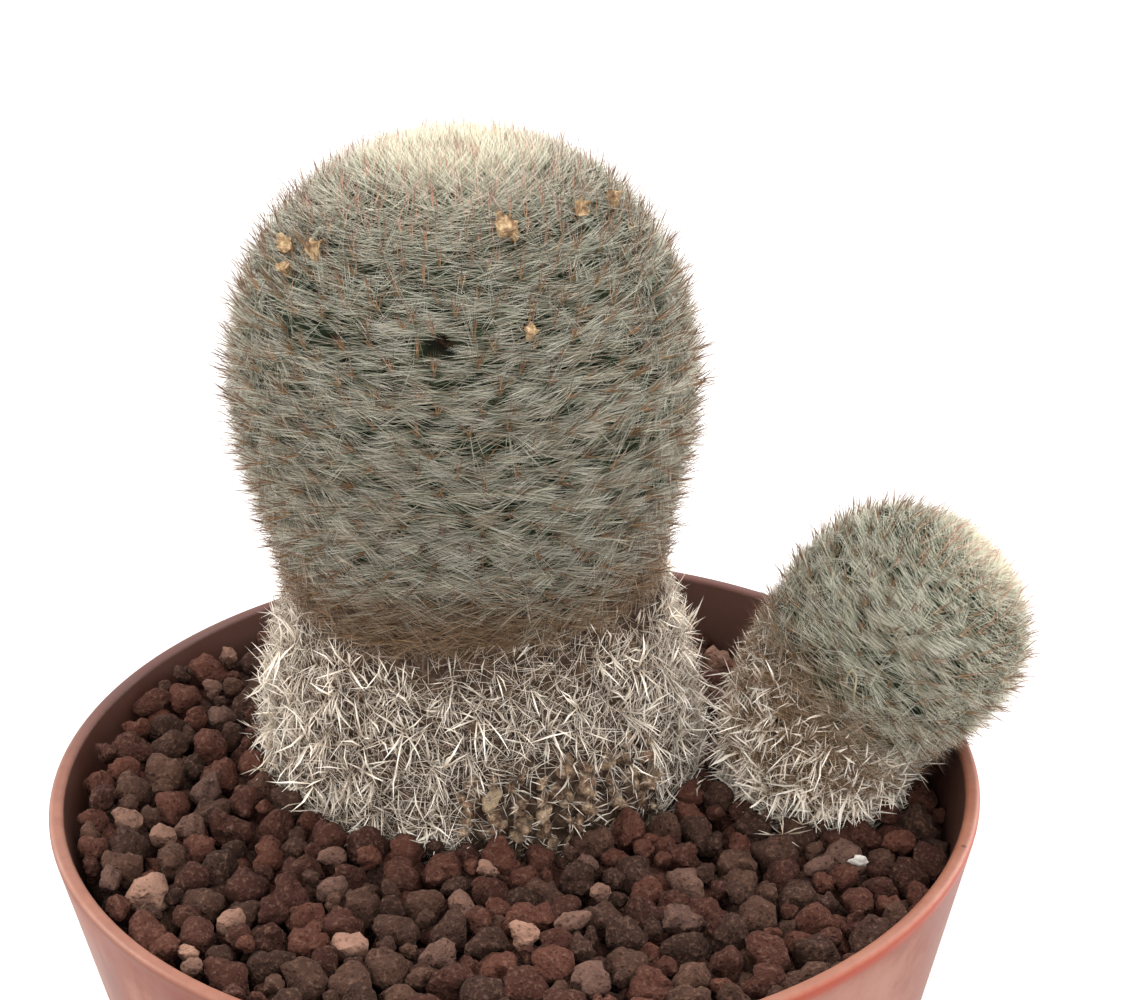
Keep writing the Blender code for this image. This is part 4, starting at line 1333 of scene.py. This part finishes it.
def make_dried_flowers():
    """What is left of the flowers: papery tubes, crumpled and tan, standing among the spines."""
    draw = np.random.default_rng(9)
    patterns = []
    for number in range(FLOWER_SHAPES):
        flower = model_cone(9, 0.35, 0.9, 2.2, 0.6)
        edit(flower)
        bpy.ops.mesh.select_all(action="SELECT")
        bpy.ops.mesh.subdivide(number_cuts=2)
        start_fresh()
        crumple(flower, f"crumple {number}", 0.6, 1.5, number * 2.3, 2)
        patterns.append(take_pattern(flower))
    angles = np.radians([angle for angle, _, _ in DRIED_FLOWERS])
    heights = np.array([height for _, height, _ in DRIED_FLOWERS]) * MM
    sizes = np.array([size for _, _, size in DRIED_FLOWERS]) * MM
    out, side, up = skin_frames(MAIN_STEM, angles, heights)
    ways = out + side * draw.normal(0, 0.5, (len(angles), 1)) + up * draw.normal(0.3, 0.4, (len(angles), 1))
    ways /= np.linalg.norm(ways, axis=1)[:, None]
    matrices = spine_matrices(ways, sizes, sizes, draw)
    places = on_skin(MAIN_STEM, angles, heights, FLOWER_LIFT)
    batches = [
        (pattern, matrices[kind::FLOWER_SHAPES], places[kind::FLOWER_SHAPES], {})
        for kind, pattern in enumerate(patterns)
    ]
    colours = [(0.35, "#5d4630"), (0.5, "#987a55"), (0.68, "#cdb58e")]
    paper = plain_fibre("withered petals", colours, 0.9 * MM, 0.8)
    stamp("main_stem_dried_flowers", batches, paper, 40)


# The place on the offset's skin, and the stalk's route from there in mm: to the right, down and outward.
HOOK_PLACE = (math.radians(-116.7), 39.8 * MM)
HOOK_LIFT = 5.2 * MM
HOOK_ROUTE = (
    (2.2, 6.5, -4), (2.3, 5, -1.6), (2.7, 3, -0.4), (3.1, 1, 0), (3.5, -1.2, 0.2),
    (3.2, -2.7, 0.3), (2.4, -3.2, 0.3), (1.5, -2.2, 0), (1.1, -0.8, -0.5), (0.8, 0.5, -1.4),
)


def make_dry_hook():
    """A dry stalk that hangs from the offset's skin and is hooked at its top."""
    angle = np.array([HOOK_PLACE[0]])
    height = np.array([HOOK_PLACE[1]])
    out = Vector(skin_frames(OFFSET_STEM, angle, height)[0][0])
    top = Vector(on_skin(OFFSET_STEM, angle, height, HOOK_LIFT)[0])
    across = Vector((1, 0.1, 0)).normalized()
    down = Vector((0, -0.2, -1)).normalized()
    start_fresh()
    bpy.ops.curve.primitive_nurbs_path_add()
    stalk = bpy.context.object
    stalk.data.splines.clear()
    spline = stalk.data.splines.new("NURBS")
    spline.points.add(len(HOOK_ROUTE) - 1)
    for point, (right, lower, forward) in zip(spline.points, HOOK_ROUTE):
        place = top + across * right * MM + down * lower * MM + out * forward * MM
        point.co = (*place, 1)
        point.radius = 1
    spline.use_endpoint_u = True
    spline.order_u = 4
    spline.resolution_u = 4
    stalk.location = (0, 0, 0)
    stalk.data.dimensions = "3D"
    stalk.data.bevel_depth = 0.2 * MM
    stalk.data.bevel_resolution = 1
    stalk.data.use_fill_caps = True
    pick(stalk)
    bpy.ops.object.convert(target="MESH")
    apply_place(stalk)
    straw = plain_fibre("dry stalk", [(0.3, "#87765a"), (0.7, "#c3b695")], 1 * MM, 0.7)
    finish_piece(stalk, "offset_stem_dry_hook", straw, 60)


FALLEN_TOGETHER = ((56.4, -17.4, 8), (61, -13, 3))  # x and y in mm, and how many
FALLEN_SINGLY = 26
FALLEN_WITHIN = 80  # mm from the pot's axis
FALLEN_LIFT = 4.4 * MM  # above the gravel's surface


def make_fallen_spines():
    """Spines that lie on the gravel: some at the front right, and single ones round the trunk."""
    draw = np.random.default_rng(17)
    spots = [(x, y) for x, y, count in FALLEN_TOGETHER for _ in range(count)]
    for _ in range(FALLEN_SINGLY):
        angle = draw.uniform(0, math.tau)
        reach = MAIN_STEM["foot_radius"] / MM + draw.uniform(2, 9)
        spots.append((MAIN_STEM["foot"][0] / MM + reach * math.cos(angle),
                      MAIN_STEM["foot"][1] / MM + reach * math.sin(angle)))
    spots = np.array([spot for spot in spots if math.hypot(*spot) < FALLEN_WITHIN]) * MM
    number = len(spots)
    turns = draw.uniform(0, math.tau, number)
    rises = draw.uniform(-0.1, 0.3, number)
    ways = np.stack([np.cos(turns) * np.cos(rises), np.sin(turns) * np.cos(rises), np.sin(rises)], 1)
    lengths = draw.uniform(4, 7.5, number) * MM
    widths = draw.uniform(0.14, 0.24, number) * MM
    levels = gravel_height(spots[:, 0], spots[:, 1]) + FALLEN_LIFT
    starts = np.column_stack([spots, levels])
    matrices = spine_matrices(ways, lengths, widths, draw)
    dirty = [(0, "#6b543c"), (1, "#a58d70")]
    bleached = [(0, "#b8a78f"), (1, "#ece5d8")]
    horn = spine_horn("fallen spine horn", dirty, bleached, 0.6)
    ages = draw.uniform(0.4, 1, number)
    tones = draw.uniform(0.4, 1.3, number)
    batches = spine_batches(BENT_SPINES, matrices, starts, ages, tones, draw)
    stamp("fallen_spines", batches, horn)


# The stage

CAMERA = (0, -0.47867, 0.38064)
AIM = (0.012586, 0, 0.153175)
ROLL = math.radians(-0.745)
LENS = 81.18
SENSOR = 36
WORLD_STRENGTH = 1.45
FLOOR_SIZE = 8
WHITE = (1, 1, 1)
WARM = (1, 0.93, 0.85)
LIGHTS = (  # name, place, size in metres, power in watts and colour
    ("key light", (0.3, 0.25, 0.95), 0.7, 5, WHITE),
    ("fill light", (0.12, -1.05, 0.35), 0.9, 3, WHITE),
    ("left edge light", (-0.9, 0.4, 0.6), 0.6, 8, WARM),
    ("right edge light", (0.9, 0.5, 0.5), 0.6, 6, WARM),
)


def make_stage():
    """A white room, a white floor, four lights and the camera of the photograph."""
    bpy.context.scene.view_settings.view_transform = "Standard"
    world = bpy.data.worlds.new("white studio")
    bpy.context.scene.world = world
    world.use_nodes = True
    background = world.node_tree.nodes["Background"]
    background.inputs["Color"].default_value = (*WHITE, 1)
    background.inputs["Strength"].default_value = WORLD_STRENGTH
    start_fresh()
    bpy.ops.mesh.primitive_plane_add(size=FLOOR_SIZE)
    floor = bpy.context.object
    floor.name = "floor"
    finish, _, shader, _ = start_material("matt white paper", 0.9)
    shader.inputs["Base Color"].default_value = linear("#dedad8")
    floor.data.materials.append(finish)
    floor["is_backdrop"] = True
    for name, place, size, power, colour in LIGHTS:
        light = bpy.data.lights.new(name, "AREA")
        light.size = size
        light.energy = power
        light.color = colour
        lamp = bpy.data.objects.new(name, light)
        lamp.location = place
        lamp.rotation_euler = (Vector(AIM) - Vector(place)).to_track_quat("-Z", "Y").to_euler()
        bpy.context.scene.collection.objects.link(lamp)
    lens = bpy.data.cameras.new("camera")
    lens.lens = LENS
    lens.sensor_width = SENSOR
    lens.sensor_fit = "HORIZONTAL"
    camera = bpy.data.objects.new("camera", lens)
    camera.location = CAMERA
    look = (Vector(AIM) - Vector(CAMERA)).to_track_quat("-Z", "Y").to_matrix()
    camera.rotation_euler = (look @ Matrix.Rotation(ROLL, 3, "Z")).to_euler()
    bpy.context.scene.collection.objects.link(camera)
    bpy.context.scene.camera = camera


make_stage()
make_pot()
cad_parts["potting_mix"].data.materials.clear()
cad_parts["potting_mix"].data.materials.append(potting_mix())
make_gravel()
for stem, seed in ((MAIN_STEM, 5), (OFFSET_STEM, 6)):
    draw = np.random.default_rng(seed)
    lay_axis(stem)
    make_skin(stem)
    make_head_spines(stem, draw)
    make_trunk_spines(stem, draw)
make_dried_flowers()
make_dry_hook()
make_fallen_spines()

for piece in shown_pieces():
    print("TRIANGLES", piece.name, sum(len(face.vertices) - 2 for face in piece.data.polygons))
